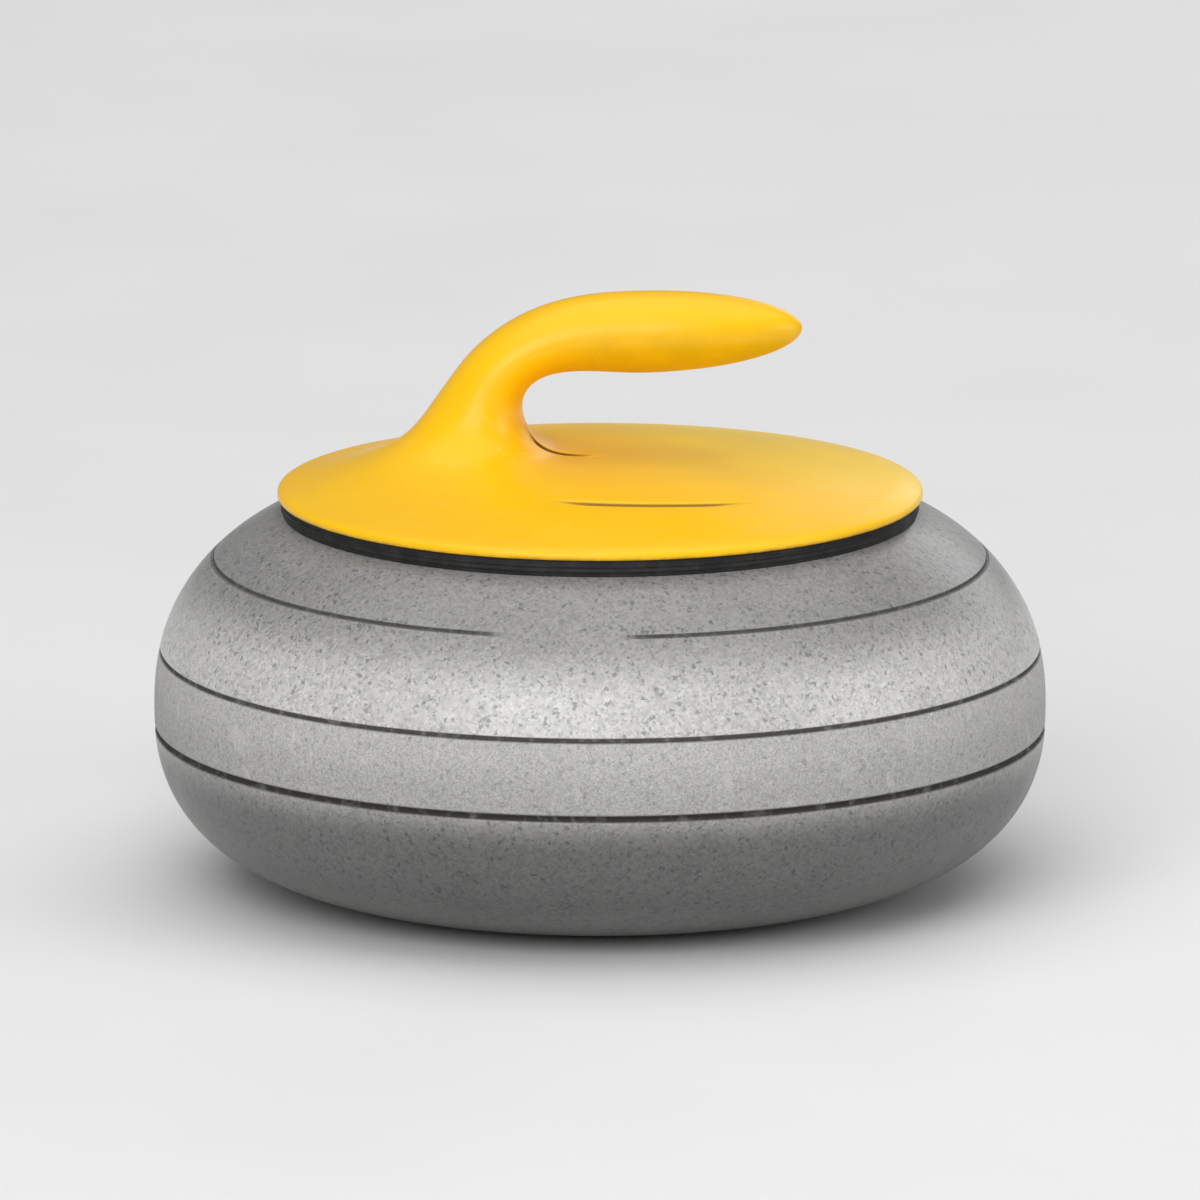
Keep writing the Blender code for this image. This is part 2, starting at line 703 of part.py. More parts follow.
def main():
    clear_scene()
    looks = {
        "granite": make_look("granite", (0.40, 0.39, 0.38), 0.35),
        "insert_granite": make_look("insert_granite", (0.24, 0.26, 0.28), 0.45),
        "epoxy": make_look("epoxy", (0.62, 0.60, 0.54), 0.4),
        "handle_plastic": make_look("handle_plastic", (1.0, 0.53, 0.01), 0.25),
        "rubber": make_look("rubber", (0.015, 0.015, 0.017), 0.7),
        "steel": make_look("steel", (0.62, 0.61, 0.60), 0.3, 1.0),
        "aluminium": make_look("aluminium", (0.75, 0.76, 0.77), 0.35, 1.0),
        "brass": make_look("brass", (0.72, 0.52, 0.22), 0.3, 1.0),
        "nylon": make_look("nylon", (0.80, 0.79, 0.74), 0.5),
    }
    stone_body(looks["granite"])
    running_insert(looks["insert_granite"])
    insert_bond(looks["epoxy"])
    clamp_bolt(looks["steel"])
    washers_and_sleeve(looks)
    hub_pieces(looks)
    core_plate(looks["steel"])
    core_rod(looks["steel"])
    plate_screws(looks["steel"])
    handle_cover(looks["handle_plastic"])
    rim_gasket(looks["rubber"])


main()
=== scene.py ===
"""Looks of the curling stone: fine granite, moulded handle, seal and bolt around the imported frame."""

import math
from collections import namedtuple

import bmesh
import bpy
import numpy as np
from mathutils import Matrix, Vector


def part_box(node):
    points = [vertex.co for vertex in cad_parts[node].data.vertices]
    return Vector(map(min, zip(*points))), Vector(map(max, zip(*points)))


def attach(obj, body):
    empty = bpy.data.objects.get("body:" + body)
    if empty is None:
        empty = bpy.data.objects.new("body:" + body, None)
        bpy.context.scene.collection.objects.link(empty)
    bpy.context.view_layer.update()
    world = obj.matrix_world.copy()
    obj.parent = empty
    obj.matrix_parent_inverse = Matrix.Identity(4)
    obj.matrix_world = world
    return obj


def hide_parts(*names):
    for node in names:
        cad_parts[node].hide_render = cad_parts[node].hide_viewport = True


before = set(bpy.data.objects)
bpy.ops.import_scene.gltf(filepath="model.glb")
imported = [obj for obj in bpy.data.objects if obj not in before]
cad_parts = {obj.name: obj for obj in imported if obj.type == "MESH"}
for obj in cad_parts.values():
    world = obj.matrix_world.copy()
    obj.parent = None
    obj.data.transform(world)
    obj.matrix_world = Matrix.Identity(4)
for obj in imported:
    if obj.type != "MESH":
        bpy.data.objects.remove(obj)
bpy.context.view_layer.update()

MM = 0.001
BODY = "root"

# Granite belly, as in the CAD: each half is a superellipse that ends level.
STONE_RADIUS = 144 * MM
STONE_HEIGHT = 128 * MM
WAIST_HEIGHT = 59 * MM
LEVEL_RADIUS = 62 * MM
LOWER_HALF = (WAIST_HEIGHT, 2.45)
UPPER_HALF = (STONE_HEIGHT - WAIST_HEIGHT, 2.2)
CUP_DEPTH = 10 * MM
TOP_SEAT = STONE_HEIGHT - CUP_DEPTH
TOP_CUP_RADII = (60 * MM, 24 * MM)
TOP_SEAT_RADIUS = 22.6 * MM
POCKET_RADIUS = 79.2 * MM
POCKET_TOP = 29.2 * MM
BORE_RADIUS = 9 * MM
BORE_EDGE = 0.8 * MM

# Turned lines: height, width, depth. The lower two edge the striking band, which is pecked.
BAND_BOTTOM = 51.5 * MM
BAND_TOP = 76.5 * MM
SHOULDER_LINE = 106.5 * MM
BAND_LINES = ((BAND_BOTTOM, 2.8 * MM, 1.0 * MM), (BAND_TOP, 2.0 * MM, 0.8 * MM))
PECK_DEPTH = 0.15 * MM
PECK_EDGE = 0.8 * MM

# The top line is worn down in front, from a middle out to where it is whole again on either side.
WORN_LINE = (SHOULDER_LINE, 1.6 * MM, 0.55 * MM)
WORN_MIDDLE_X = -12 * MM
WORN_REACH = (15 * MM, 27 * MM)
WORN_SHARE_LEFT = 0.1
SHOULDER_RADIUS = 0.85 * STONE_RADIUS

INSERT_RADIUS = 78 * MM
INSERT_THICKNESS = 28 * MM
INSERT_HOLE_RADIUS = 17 * MM
RUNNING_BAND_OUTER = 68 * MM

BOLT_RADIUS = 4.76 * MM
BOLT_HEAD_BOTTOM = 14.3 * MM
BOLT_HEAD_TOP = 20.3 * MM
BOLT_END = 134.6 * MM
BOLT_ACROSS_FLATS = 14.3 * MM
BOLT_PITCH = 1.5875 * MM
BOLT_THREAD_DEPTH = 0.85 * MM
BOLT_THREAD_LENGTH = 30 * MM

# Washers under the bolt's head: inner radius, outer radius, bottom, top.
SPRING_WASHER = (5.3 * MM, 8.9 * MM, 20.65 * MM, 22.75 * MM)
PLAIN_WASHER = (5.3 * MM, 13.5 * MM, 23.1 * MM, 25.6 * MM)
RUBBER_WASHER = (5.4 * MM, 15.5 * MM, 25.9 * MM, 28.9 * MM)
SPRING_SPLIT = math.radians(14)
SPRING_RISE = 0.1 * MM

# Button-head screws of the core plate. The crown's points are (radius, height above its lowest face).
SCREW_CROWN = (
    (1.9 * MM, 0.0),
    (2.6 * MM, 0.35 * MM),
    (3.2 * MM, 0.9 * MM),
    (3.5 * MM, 1.5 * MM),
    (3.5 * MM, 2.2 * MM),
)
SCREW_SOCKET_FLATS = 2.2 * MM
SCREW_SOCKET_DEPTH = 1.3 * MM
SCREW_RADIUS = 1.7 * MM
SCREW_PITCH = 1.1 * MM
SCREW_THREAD_DEPTH = 0.5 * MM
SCREW_POINT_LENGTH = 1.6 * MM
SCREW_POINT_RADIUS = 0.3 * MM

RIM_RADIUS = 104 * MM
RIM_BOTTOM = 126.6 * MM
DOME_TOP = 140.4 * MM
DOME_RISE = 11 * MM
DOME_WALL = 3 * MM

SEAL_OUTER = 102.8 * MM
SEAL_INNER = 98.2 * MM
SEAL_HEEL = 100.5 * MM
SEAL_BULGE = 0.5 * MM
SEAL_RIB = 0.22 * MM
AIR_GAP = 0.3 * MM

# Loft stations from the rim to the grip, in mm: (back x, back z, front x, front z, half width).
HANDLE_STATIONS_MM = (
    (-102.9, 129.4, 102.9, 129.4, 102.9),
    (-94.6, 131.5, 68.0, 135.7, 81.3),
    (-86.6, 134.1, 41.0, 138.7, 63.8),
    (-78.6, 137.2, 19.5, 140.1, 49.0),
    (-71.2, 140.6, 3.1, 140.5, 37.2),
    (-64.4, 144.9, -8.6, 140.8, 28.4),
    (-58.6, 150.6, -16.7, 142.6, 22.4),
    (-53.5, 157.6, -22.1, 147.4, 18.5),
    (-48.3, 165.0, -24.8, 153.8, 16.5),
    (-42.2, 172.8, -24.0, 160.4, 15.7),
    (-32.9, 181.0, -18.7, 165.4, 15.2),
    (-19.5, 188.2, -9.8, 167.5, 15.0),
    (-3.1, 192.3, 1.0, 167.5, 15.0),
)
NOSE_START_X = 14 * MM
NOSE_TIP_X = 65.0 * MM
NOSE_AXIS_Z = 180.25 * MM
NOSE_AXIS_RISE = 0.022
NOSE_HALF_HEIGHT = 13.15 * MM
NOSE_HALF_WIDTH = 15 * MM
NOSE_SHARPNESS = 0.52

# The channel for the core rod runs up the neck from this station, and ends inside the grip.
CHANNEL_FIRST_STATION = 7
CHANNEL_MIDDLE_X = 25 * MM
CHANNEL_END_X = 37 * MM
CHANNEL_RADIUS = 6.3 * MM

# Stations of the hollow beneath, in mm. Where no z is given, the hollow follows the dome a wall below it.
HOLLOW_STATIONS_MM = (
    (-100.4, None, 100.4, None, 100.4),
    (-86.0, None, 76.0, None, 81.0),
    (-72.0, None, 44.0, None, 58.0),
    (-62.0, None, 14.0, None, 38.0),
    (-57.0, None, -9.0, None, 24.0),
    (-52.0, 141.0, -25.0, 138.5, 14.0),
    (-47.5, 147.0, -30.0, 145.0, 9.0),
)

# Creases pressed into the dome. In plan each runs from start to end along X, at y halfway, with a slope
# and a bow, and fades in and out over the given lengths. Its painted shade is a share of full cover, and
# lies off its middle by a share of its width, on the far wall.
Crease = namedtuple("Crease", "start end y slope bow fade_in fade_out width depth dirt dirt_shift")
FRONT_CREASE = Crease(
    start=-21 * MM,
    end=53 * MM,
    y=-62 * MM,
    slope=0.105,
    bow=5.0,
    fade_in=18 * MM,
    fade_out=20 * MM,
    width=3.6 * MM,
    depth=0.9 * MM,
    dirt=0.80,
    dirt_shift=0.15,
)
NECK_CREASE = Crease(
    start=-28 * MM,
    end=4 * MM,
    y=-4 * MM,
    slope=0.0,
    bow=-8.0,
    fade_in=8 * MM,
    fade_out=16 * MM,
    width=3.4 * MM,
    depth=1.3 * MM,
    dirt=0.95,
    dirt_shift=0.34,
)
CREASES = (FRONT_CREASE, NECK_CREASE)

# The dome is refined round a crease in rounds, each out to so many widths of it. Only faces that look up
# are touched, up to a height on the neck, and a crease fades out where the surface steepens.
CREASE_ROUNDS = (6, 4, 2.6, 1.7)
CREASE_TOP = 155 * MM
CREASE_FACING = 0.25
CREASE_STEEP, CREASE_LEVEL = 0.3, 0.75

STONE_SEGMENTS = 288
INSERT_SEGMENTS = 192
SEAL_SEGMENTS = 256
COVER_SEGMENTS = 128
WASHER_SEGMENTS = 128
BOLT_SEGMENTS = 96
SCREW_SEGMENTS = 48
BELLY_STEPS = 90
LINE_STEPS = 15
TOP_CUP_STEPS = 14
INSERT_CUP_STEPS = 40
STATION_STEPS = 4
NOSE_GUIDE_STEPS = 14
NOSE_STEPS = 40
CHANNEL_STEPS = 3
SEAL_STEPS = 25
SPRING_STEPS = 97
THREAD_STEPS = 8

# Heights between which shade and light are painted on the polished granite: painted shade darkens it up
# to the cover and makes it dark below the band, and painted light makes it a little paler at its foot.
PAINTED_SHADE_UNDER_COVER = (82 * MM, 112 * MM)
PAINTED_SHADE_BELOW_BAND = (35 * MM, 68 * MM)
PAINTED_LIGHT_FOOT = (8 * MM, 24 * MM)

# Stage: the camera's lens and sensor in mm, its aim and distance in metres, and for each lamp its
# place, width and height in metres and its power in watts.
CAMERA_LENS = 600
CAMERA_SENSOR = 36
CAMERA_AIM = Vector((0, 0, 0.092))
CAMERA_DISTANCE = 6.45
CAMERA_ELEVATION = math.radians(12)
LAMP_AIM = Vector((0, 0, 0.09))
LAMPS = (
    ("key", (-1.2, -3.8, 2.3), 3.6, 2.8, 126),
    ("fill", (3.8, -1.4, 1.4), 2.4, 2.0, 38),
    ("back", (2.0, 4.0, 1.6), 3.2, 1.8, 22),
)
OVERHEAD_SPREAD = math.radians(80)
OVERHEAD_STRENGTH = 1.6
SKY_COLOUR = (0.97, 0.98, 1.0, 1)
SKY_STRENGTH = 0.20
FLOOR_REACH = 24


# ---- Meshes ----


def add_piece(name, verts, faces, material, slot, node, sharp_degrees=38):
    """A closed piece that stands for one CAD node and rides with the stone."""
    mesh = bpy.data.meshes.new(name)
    mesh.from_pydata([tuple(v) for v in verts], [], faces)
    bm = bmesh.new()
    bm.from_mesh(mesh)
    bmesh.ops.recalc_face_normals(bm, faces=bm.faces)
    bm.to_mesh(mesh)
    bm.free()
    mesh.shade_smooth()
    mesh.set_sharp_from_angle(angle=math.radians(sharp_degrees))
    mesh.materials.append(material)
    obj = bpy.data.objects.new(name, mesh)
    bpy.context.scene.collection.objects.link(obj)
    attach(obj, BODY)
    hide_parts(node)
    return obj


def ring_faces(rows, columns, closed_rows):
    """Quads between neighbouring rows of a grid whose columns wrap round."""
    faces = []
    for row in range(rows if closed_rows else rows - 1):
        here, there = row * columns, (row + 1) % rows * columns
        for i in range(columns):
            j = (i + 1) % columns
            faces.append((here + i, here + j, there + j, there + i))
    return faces


def full_turn(count):
    """Angles spread evenly over a full turn."""
    return np.arange(count) * math.tau / count


def turned(profile, segments, cut=None):
    """Vertices and faces of a closed profile of (radius, height) points turned about Z.
    cut is (offsets, share): an (r, z) offset for each point, and its share at each angle."""
    profile = np.array(profile)
    angles = full_turn(segments)
    points = np.repeat(profile[:, None, :], segments, axis=1)
    if cut is not None:
        offsets, share = cut
        points = points + np.array(offsets)[:, None, :] * share(angles)[None, :, None]
    radius, height = points[..., 0], points[..., 1]
    verts = np.stack([radius * np.cos(angles), radius * np.sin(angles), height], axis=-1)
    return verts.reshape(-1, 3), ring_faces(len(profile), segments, closed_rows=True)


def capped(rings):
    """Vertices and faces of a solid through rings of equal length, closed at its two ends."""
    columns = len(rings[0])
    faces = ring_faces(len(rings), columns, closed_rows=False)
    last = (len(rings) - 1) * columns
    faces.append(tuple(range(columns)))
    faces.append(tuple(last + i for i in reversed(range(columns))))
    return np.concatenate([np.array(ring) for ring in rings]), faces


def rounded(profile, radius, steps=5):
    """A closed profile with every corner rounded, each by at most a third of its shorter side."""
    points = [Vector(point) for point in profile]
    found = []
    for i, corner in enumerate(points):
        before, after = points[i - 1], points[(i + 1) % len(points)]
        reach = min(radius, (before - corner).length / 3, (after - corner).length / 3)
        start = corner + (before - corner).normalized() * reach
        end = corner + (after - corner).normalized() * reach
        for step in range(steps + 1):
            t = step / steps
            found.append(tuple(start * (1 - t) ** 2 + corner * 2 * t * (1 - t) + end * t**2))
    return found


def natural_spline(points, per_span):
    """Points on the natural cubic spline through the given ones, evenly spread over each span."""
    points = np.array(points, float)
    knots = np.concatenate([[0], np.cumsum(np.linalg.norm(np.diff(points, axis=0), axis=1))])
    gaps = np.diff(knots)
    count = len(points)
    matrix = np.eye(count)
    right = np.zeros_like(points)
    slopes = np.diff(points, axis=0) / gaps[:, None]
    for i in range(1, count - 1):
        matrix[i, i - 1 : i + 2] = gaps[i - 1], 2 * (gaps[i - 1] + gaps[i]), gaps[i]
        right[i] = 6 * (slopes[i] - slopes[i - 1])
    bends = np.linalg.solve(matrix, right)
    found = []
    for i in range(count - 1):
        for step in range(per_span):
            a = gaps[i] * step / per_span
            b = gaps[i] - a
            found.append(
                (bends[i] * b**3 + bends[i + 1] * a**3) / (6 * gaps[i])
                + (points[i] / gaps[i] - bends[i] * gaps[i] / 6) * b
                + (points[i + 1] / gaps[i] - bends[i + 1] * gaps[i] / 6) * a
            )
    return [*found, points[-1]]


def smooth_step(value, low, high):
    """0 below low, 1 above high, and a smooth rise between them."""
    t = np.clip((value - low) / (high - low), 0, 1)
    return t * t * (3 - 2 * t)


# ---- Granite ----


def belly_point(angle):
    """(radius, height) on the belly. Angle 0 is the waist, and 90 degrees either way is level."""
    half_height, exponent = UPPER_HALF if angle > 0 else LOWER_HALF
    radius = LEVEL_RADIUS + (STONE_RADIUS - LEVEL_RADIUS) * math.cos(angle) ** (2 / exponent)
    rise = half_height * abs(math.sin(angle)) ** (2 / exponent)
    return radius, WAIST_HEIGHT + math.copysign(rise, angle)


def belly_angle(height):
    half_height, exponent = UPPER_HALF if height > WAIST_HEIGHT else LOWER_HALF
    share = abs(height - WAIST_HEIGHT) / half_height
    return math.copysign(math.asin(share ** (exponent / 2)), height - WAIST_HEIGHT)


def off_level(radius, half):
    """How far a half of the belly has come from level at a radius."""
    half_height, exponent = half
    share = (radius - LEVEL_RADIUS) / (STONE_RADIUS - LEVEL_RADIUS)
    return half_height * (1 - (1 - share**exponent) ** (1 / exponent))


def underside(radius):
    return off_level(radius, LOWER_HALF)


def topside(radius):
    return STONE_HEIGHT - off_level(radius, UPPER_HALF)


def cup_depth(radius):
    """Depth at a radius of the shallow cups in the stone's top and underside."""
    return CUP_DEPTH * (1 - (radius / LEVEL_RADIUS) ** 2)


def belly_angles():
    """Angles from the pocket's mouth to the top, gathered closely round each turned line."""
    lowest = belly_angle(underside(POCKET_RADIUS))
    angles = list(np.linspace(lowest, math.pi / 2, BELLY_STEPS))
    for height, width, _ in (*BAND_LINES, WORN_LINE):
        middle = belly_angle(height)
        reach = width / STONE_RADIUS * 1.4
        angles += list(np.linspace(middle - reach, middle + reach, LINE_STEPS))
    return sorted(angles)


def outward(points):
    """The unit normal at each point of an outline that runs upwards on its right-hand side."""
    along = np.gradient(np.array(points), axis=0)
    normals = np.stack([along[:, 1], -along[:, 0]], axis=1)
    return normals / np.linalg.norm(normals, axis=1)[:, None]


def line_depth(outline, line):
    """How deep a turned line cuts each point of an outline: a V with a soft lip and root."""
    height, width, depth = line
    middle = np.array(belly_point(belly_angle(height)))
    away = np.linalg.norm(outline - middle, axis=1) / (width / 2)
    return depth * np.clip(1 - away**2, 0, 1) ** 1.5


def worn_share(angles):
    """Share of the shoulder line's depth left at each angle: little of it in front."""
    x = SHOULDER_RADIUS * np.cos(angles)
    whole = smooth_step(np.abs(x - WORN_MIDDLE_X), *WORN_REACH)
    left = WORN_SHARE_LEFT + (1 - WORN_SHARE_LEFT) * whole
    return np.where(np.sin(angles) < 0, left, 1.0)


def polished_stone(material):
    """The granite body, with its cup and seat on top, its bore, and the insert's pocket beneath."""
    outline = np.array([belly_point(angle) for angle in belly_angles()])
    normals = outward(outline)
    depth = sum(line_depth(outline, line) for line in BAND_LINES)
    height = outline[:, 1]
    pecked = smooth_step(height, BAND_BOTTOM, BAND_BOTTOM + PECK_EDGE)
    pecked = pecked * (1 - smooth_step(height, BAND_TOP - PECK_EDGE, BAND_TOP))
    depth = depth + PECK_DEPTH * pecked
    belly = outline - normals * depth[:, None]
    worn = -normals * line_depth(outline, WORN_LINE)[:, None]

    cup_radii = np.linspace(*TOP_CUP_RADII, TOP_CUP_STEPS)
    inside = [
        *((radius, STONE_HEIGHT - cup_depth(radius)) for radius in cup_radii),
        (TOP_SEAT_RADIUS + 0.6 * MM, TOP_SEAT + 0.3 * MM),
        (TOP_SEAT_RADIUS, TOP_SEAT),
        (BORE_RADIUS + BORE_EDGE, TOP_SEAT),
        (BORE_RADIUS, TOP_SEAT - BORE_EDGE),
        (BORE_RADIUS, POCKET_TOP),
        (POCKET_RADIUS, POCKET_TOP),
        (POCKET_RADIUS, underside(POCKET_RADIUS) + 0.5 * MM),
    ]
    profile = np.concatenate([belly, inside])
    offsets = np.concatenate([worn, np.zeros((len(inside), 2))])
    verts, faces = turned(profile, STONE_SEGMENTS, (offsets, worn_share))
    return add_piece("polished_stone", verts, faces, material, "granite", "stone_body")


def insert_disc(material):
    """The disc in the underside, with the running cup, and the band that the stone runs on."""
    profile = [(INSERT_HOLE_RADIUS, cup_depth(INSERT_HOLE_RADIUS) + 0.8 * MM)]
    inner, outer = INSERT_HOLE_RADIUS + 0.8 * MM, LEVEL_RADIUS - 0.4 * MM
    profile += [(radius, cup_depth(radius)) for radius in np.linspace(inner, outer, INSERT_CUP_STEPS)]
    profile += [
        (LEVEL_RADIUS + 0.2 * MM, 0),
        (RUNNING_BAND_OUTER - 0.3 * MM, 0),
        (RUNNING_BAND_OUTER + 0.1 * MM, 0.06 * MM),
        (RUNNING_BAND_OUTER + 0.6 * MM, 0.26 * MM),
        (RUNNING_BAND_OUTER + 1.2 * MM, 0.33 * MM),
        (INSERT_RADIUS - 0.6 * MM, underside(INSERT_RADIUS)),
        (INSERT_RADIUS, underside(INSERT_RADIUS) + 0.5 * MM),
        (INSERT_RADIUS, INSERT_THICKNESS - 0.6 * MM),
        (INSERT_RADIUS - 0.6 * MM, INSERT_THICKNESS),
        (INSERT_HOLE_RADIUS, INSERT_THICKNESS),
    ]
    verts, faces = turned(profile, INSERT_SEGMENTS)
    return add_piece("insert_disc", verts, faces, material, "insert_granite", "running_insert")


# ---- Handle ----


def nose_axis(x):
    return NOSE_AXIS_Z + NOSE_AXIS_RISE * (x - NOSE_START_X)


def nose_stations(steps):
    """Stations that taper along the grip to its tip."""
    stations = []
    for i in range(steps):
        share = math.sin(math.pi / 2 * i / steps)
        x = NOSE_START_X + (NOSE_TIP_X - NOSE_START_X) * share
        swell = (1 - share**2) ** NOSE_SHARPNESS
        half = NOSE_HALF_HEIGHT * swell
        stations.append((x, nose_axis(x) + half, x, nose_axis(x) - half, NOSE_HALF_WIDTH * swell))
    return stations


def skin_ring(station):
    """The ellipse between a station's back and front points, with its half width across."""
    back_x, back_z, front_x, front_z, half_width = station
    angles = full_turn(COVER_SEGMENTS)
    along, across = np.cos(angles), np.sin(angles)
    x = (back_x + front_x) / 2 + (back_x - front_x) / 2 * along
    z = (back_z + front_z) / 2 + (back_z - front_z) / 2 * along
    return np.stack([x, half_width * across, z], axis=-1)


def flat_station(radius, height):
    """A round, level station."""
    return (-radius, height, radius, height, radius)


def dome_height(x, wall=0.0):
    """Height of the plain dome at a distance from its middle, or of its underside, a wall lower."""
    return DOME_TOP - wall - DOME_RISE * (x / RIM_RADIUS) ** 2


def rim_stations():
    """The rim's rounded edge in section, from its inner lip round to where the dome begins."""
    section = [
        (RIM_RADIUS - 3.0 * MM, RIM_BOTTOM + 0.5 * MM),
        (RIM_RADIUS - 2.7 * MM, RIM_BOTTOM + 0.1 * MM),
        (RIM_RADIUS - 2.3 * MM, RIM_BOTTOM),
        (RIM_RADIUS - 0.7 * MM, RIM_BOTTOM),
        (RIM_RADIUS - 0.25 * MM, RIM_BOTTOM + 0.15 * MM),
        (RIM_RADIUS - 0.03 * MM, RIM_BOTTOM + 0.55 * MM),
        (RIM_RADIUS, RIM_BOTTOM + 1.0 * MM),
        (RIM_RADIUS - 0.04 * MM, RIM_BOTTOM + 1.5 * MM),
        (RIM_RADIUS - 0.2 * MM, RIM_BOTTOM + 2.0 * MM),
        (RIM_RADIUS - 0.5 * MM, RIM_BOTTOM + 2.4 * MM),
    ]
    return [flat_station(radius, height) for radius, height in section]


def core_path():
    """(x, z) points up the neck and along the grip, midway between the loft's two rails."""
    points = []
    for back_x, back_z, front_x, front_z, _ in HANDLE_STATIONS_MM[CHANNEL_FIRST_STATION:]:
        points.append(((back_x + front_x) / 2 * MM, (back_z + front_z) / 2 * MM))
    points += [(x, nose_axis(x)) for x in (NOSE_START_X, CHANNEL_MIDDLE_X, CHANNEL_END_X)]
    return natural_spline(points, CHANNEL_STEPS)


def channel_rings():
    """Round rings square to the rod's path, starting on its back side."""
    path = np.array(core_path())
    headings = np.gradient(path, axis=0)
    headings /= np.linalg.norm(headings, axis=1)[:, None]
    angles = full_turn(COVER_SEGMENTS)
    rings = []
    for (x, z), (heading_x, heading_z) in zip(path, headings):
        out = CHANNEL_RADIUS * np.cos(angles)
        side = CHANNEL_RADIUS * np.sin(angles)
        rings.append(np.stack([x - out * heading_z, side, z + out * heading_x], axis=-1))
    return rings


def hollow_rings():
    """Rings of the hollow under the dome, and on up the rod's channel."""
    stations = []
    for back_x, back_z, front_x, front_z, half_width in HOLLOW_STATIONS_MM:
        back, front = back_x * MM, front_x * MM
        back_height = back_z * MM if back_z else dome_height(back, DOME_WALL)
        front_height = front_z * MM if front_z else dome_height(front, DOME_WALL)
        stations.append((back, back_height, front, front_height, half_width * MM))
    return [skin_ring(station) for station in stations] + channel_rings()


def crease_middle(crease, x):
    """Y along the middle of a crease."""
    along = x - (crease.start + crease.end) / 2
    return crease.y + crease.slope * along + crease.bow * along**2


def crease_depth(crease, x, y):
    """How deep a crease is pressed at a point in plan."""
    begins = smooth_step(x, crease.start, crease.start + crease.fade_in)
    ends = smooth_step(x, crease.end - crease.fade_out, crease.end)
    share = begins * (1 - ends)
    away = (y - crease_middle(crease, x)) / (crease.width / 2 * (0.4 + 0.6 * share))
    return crease.depth * share * math.exp(-(away**2))


def press_creases(obj):
    """Refines the dome round each crease and presses it in."""
    bm = bmesh.new()
    bm.from_mesh(obj.data)

    def on_top(point, normal):
        above_wall = point.z > dome_height(point.xy.length, DOME_WALL / 2)
        return normal.z > CREASE_FACING and above_wall and point.z < CREASE_TOP

    for crease in CREASES:
        for widths in CREASE_ROUNDS:
            reach = widths * crease.width
            near = set()
            for face in bm.faces:
                middle = face.calc_center_median()
                beside = abs(middle.y - crease_middle(crease, middle.x)) < reach
                along = crease.start - reach < middle.x < crease.end + reach
                if beside and along and on_top(middle, face.normal):
                    near.update(face.edges)
            bmesh.ops.subdivide_edges(bm, edges=list(near), cuts=1, use_grid_fill=True)
        for vert in bm.verts:
            if on_top(vert.co, vert.normal):
                level = smooth_step(vert.normal.z, CREASE_STEEP, CREASE_LEVEL)
                vert.co.z -= level * crease_depth(crease, vert.co.x, vert.co.y)
    bm.to_mesh(obj.data)
    bm.free()
    obj.data.shade_smooth()


def handle_moulding(material):
    """Dome, neck and grip in one skin, hollow beneath, with the creases pressed in."""
    lofted = [np.array(station) * MM for station in HANDLE_STATIONS_MM]
    through = natural_spline([*lofted, *nose_stations(NOSE_GUIDE_STEPS)], STATION_STEPS)
    # The spline's end would be a small flat: the nose's own rings close it instead.
    grip = [station for station in through if station[0] < NOSE_START_X - 0.5 * MM]
    grip += nose_stations(NOSE_STEPS)
    outer = [skin_ring(station) for station in reversed([*rim_stations(), *grip])]
    verts, faces = capped(outer + hollow_rings())
    cover = add_piece("handle_moulding", verts, faces, material, "handle_plastic", "handle_cover", 50)
    press_creases(cover)
    return cover


def rim_seal(material):
    """Rubber ring under the rim: a soft bead with two fine ribs round its face."""
    top = RIM_BOTTOM - AIR_GAP
    foot = topside(SEAL_OUTER) + AIR_GAP
    profile = [
        (SEAL_INNER, topside(SEAL_INNER) + 0.35 * MM),
        (SEAL_HEEL, topside(SEAL_HEEL) + AIR_GAP),
    ]
    for share in np.linspace(0, 1, SEAL_STEPS):
        swell = math.sin(math.pi * share)
        rib = SEAL_RIB * math.cos(3 * math.tau * share)
        radius = SEAL_OUTER - 0.6 * MM + (SEAL_BULGE + rib) * swell
        profile.append((radius, foot + (top - foot) * share))
    profile.append((SEAL_INNER, top))
    verts, faces = turned(profile, SEAL_SEGMENTS)
    return add_piece("rim_seal", verts, faces, material, "rubber", "rim_gasket", 60)


# ---- Fasteners ----


def hex_radii(across_flats, segments=BOLT_SEGMENTS):
    """The radius of a hexagon at each angle."""
    from_flat = (full_turn(segments) + math.radians(30)) % math.radians(60) - math.radians(30)
    return across_flats / 2 / np.cos(from_flat)


def round_ring(height, radii, centre=(0, 0), segments=BOLT_SEGMENTS):
    """A ring at a height, where the height and the radius may each vary with the angle."""
    angles = full_turn(segments)
    radii = np.broadcast_to(radii, segments)
    height = np.broadcast_to(height, segments)
    x = centre[0] + radii * np.cos(angles)
    y = centre[1] + radii * np.sin(angles)
    return np.stack([x, y, height], axis=-1)


def thread_rings(bottom, top, major, depth, pitch, centre=(0, 0), segments=BOLT_SEGMENTS):
    """A helical thread as rings close together, fading out at both ends."""
    angles = np.arange(segments) / segments
    rings = []
    for height in np.arange(bottom, top, pitch / THREAD_STEPS):
        phase = (height / pitch - angles) % 1
        valley = np.clip(1 - np.abs(phase - 0.5) * 2.6, 0, 1)
        fade = min(1, (height - bottom) / (1.5 * pitch))
        end_taper = max(0, 1 - (top - height) / pitch)
        radii = major - depth * valley * fade - end_taper * depth * 0.8
        rings.append(round_ring(height, radii, centre, segments))
    return rings


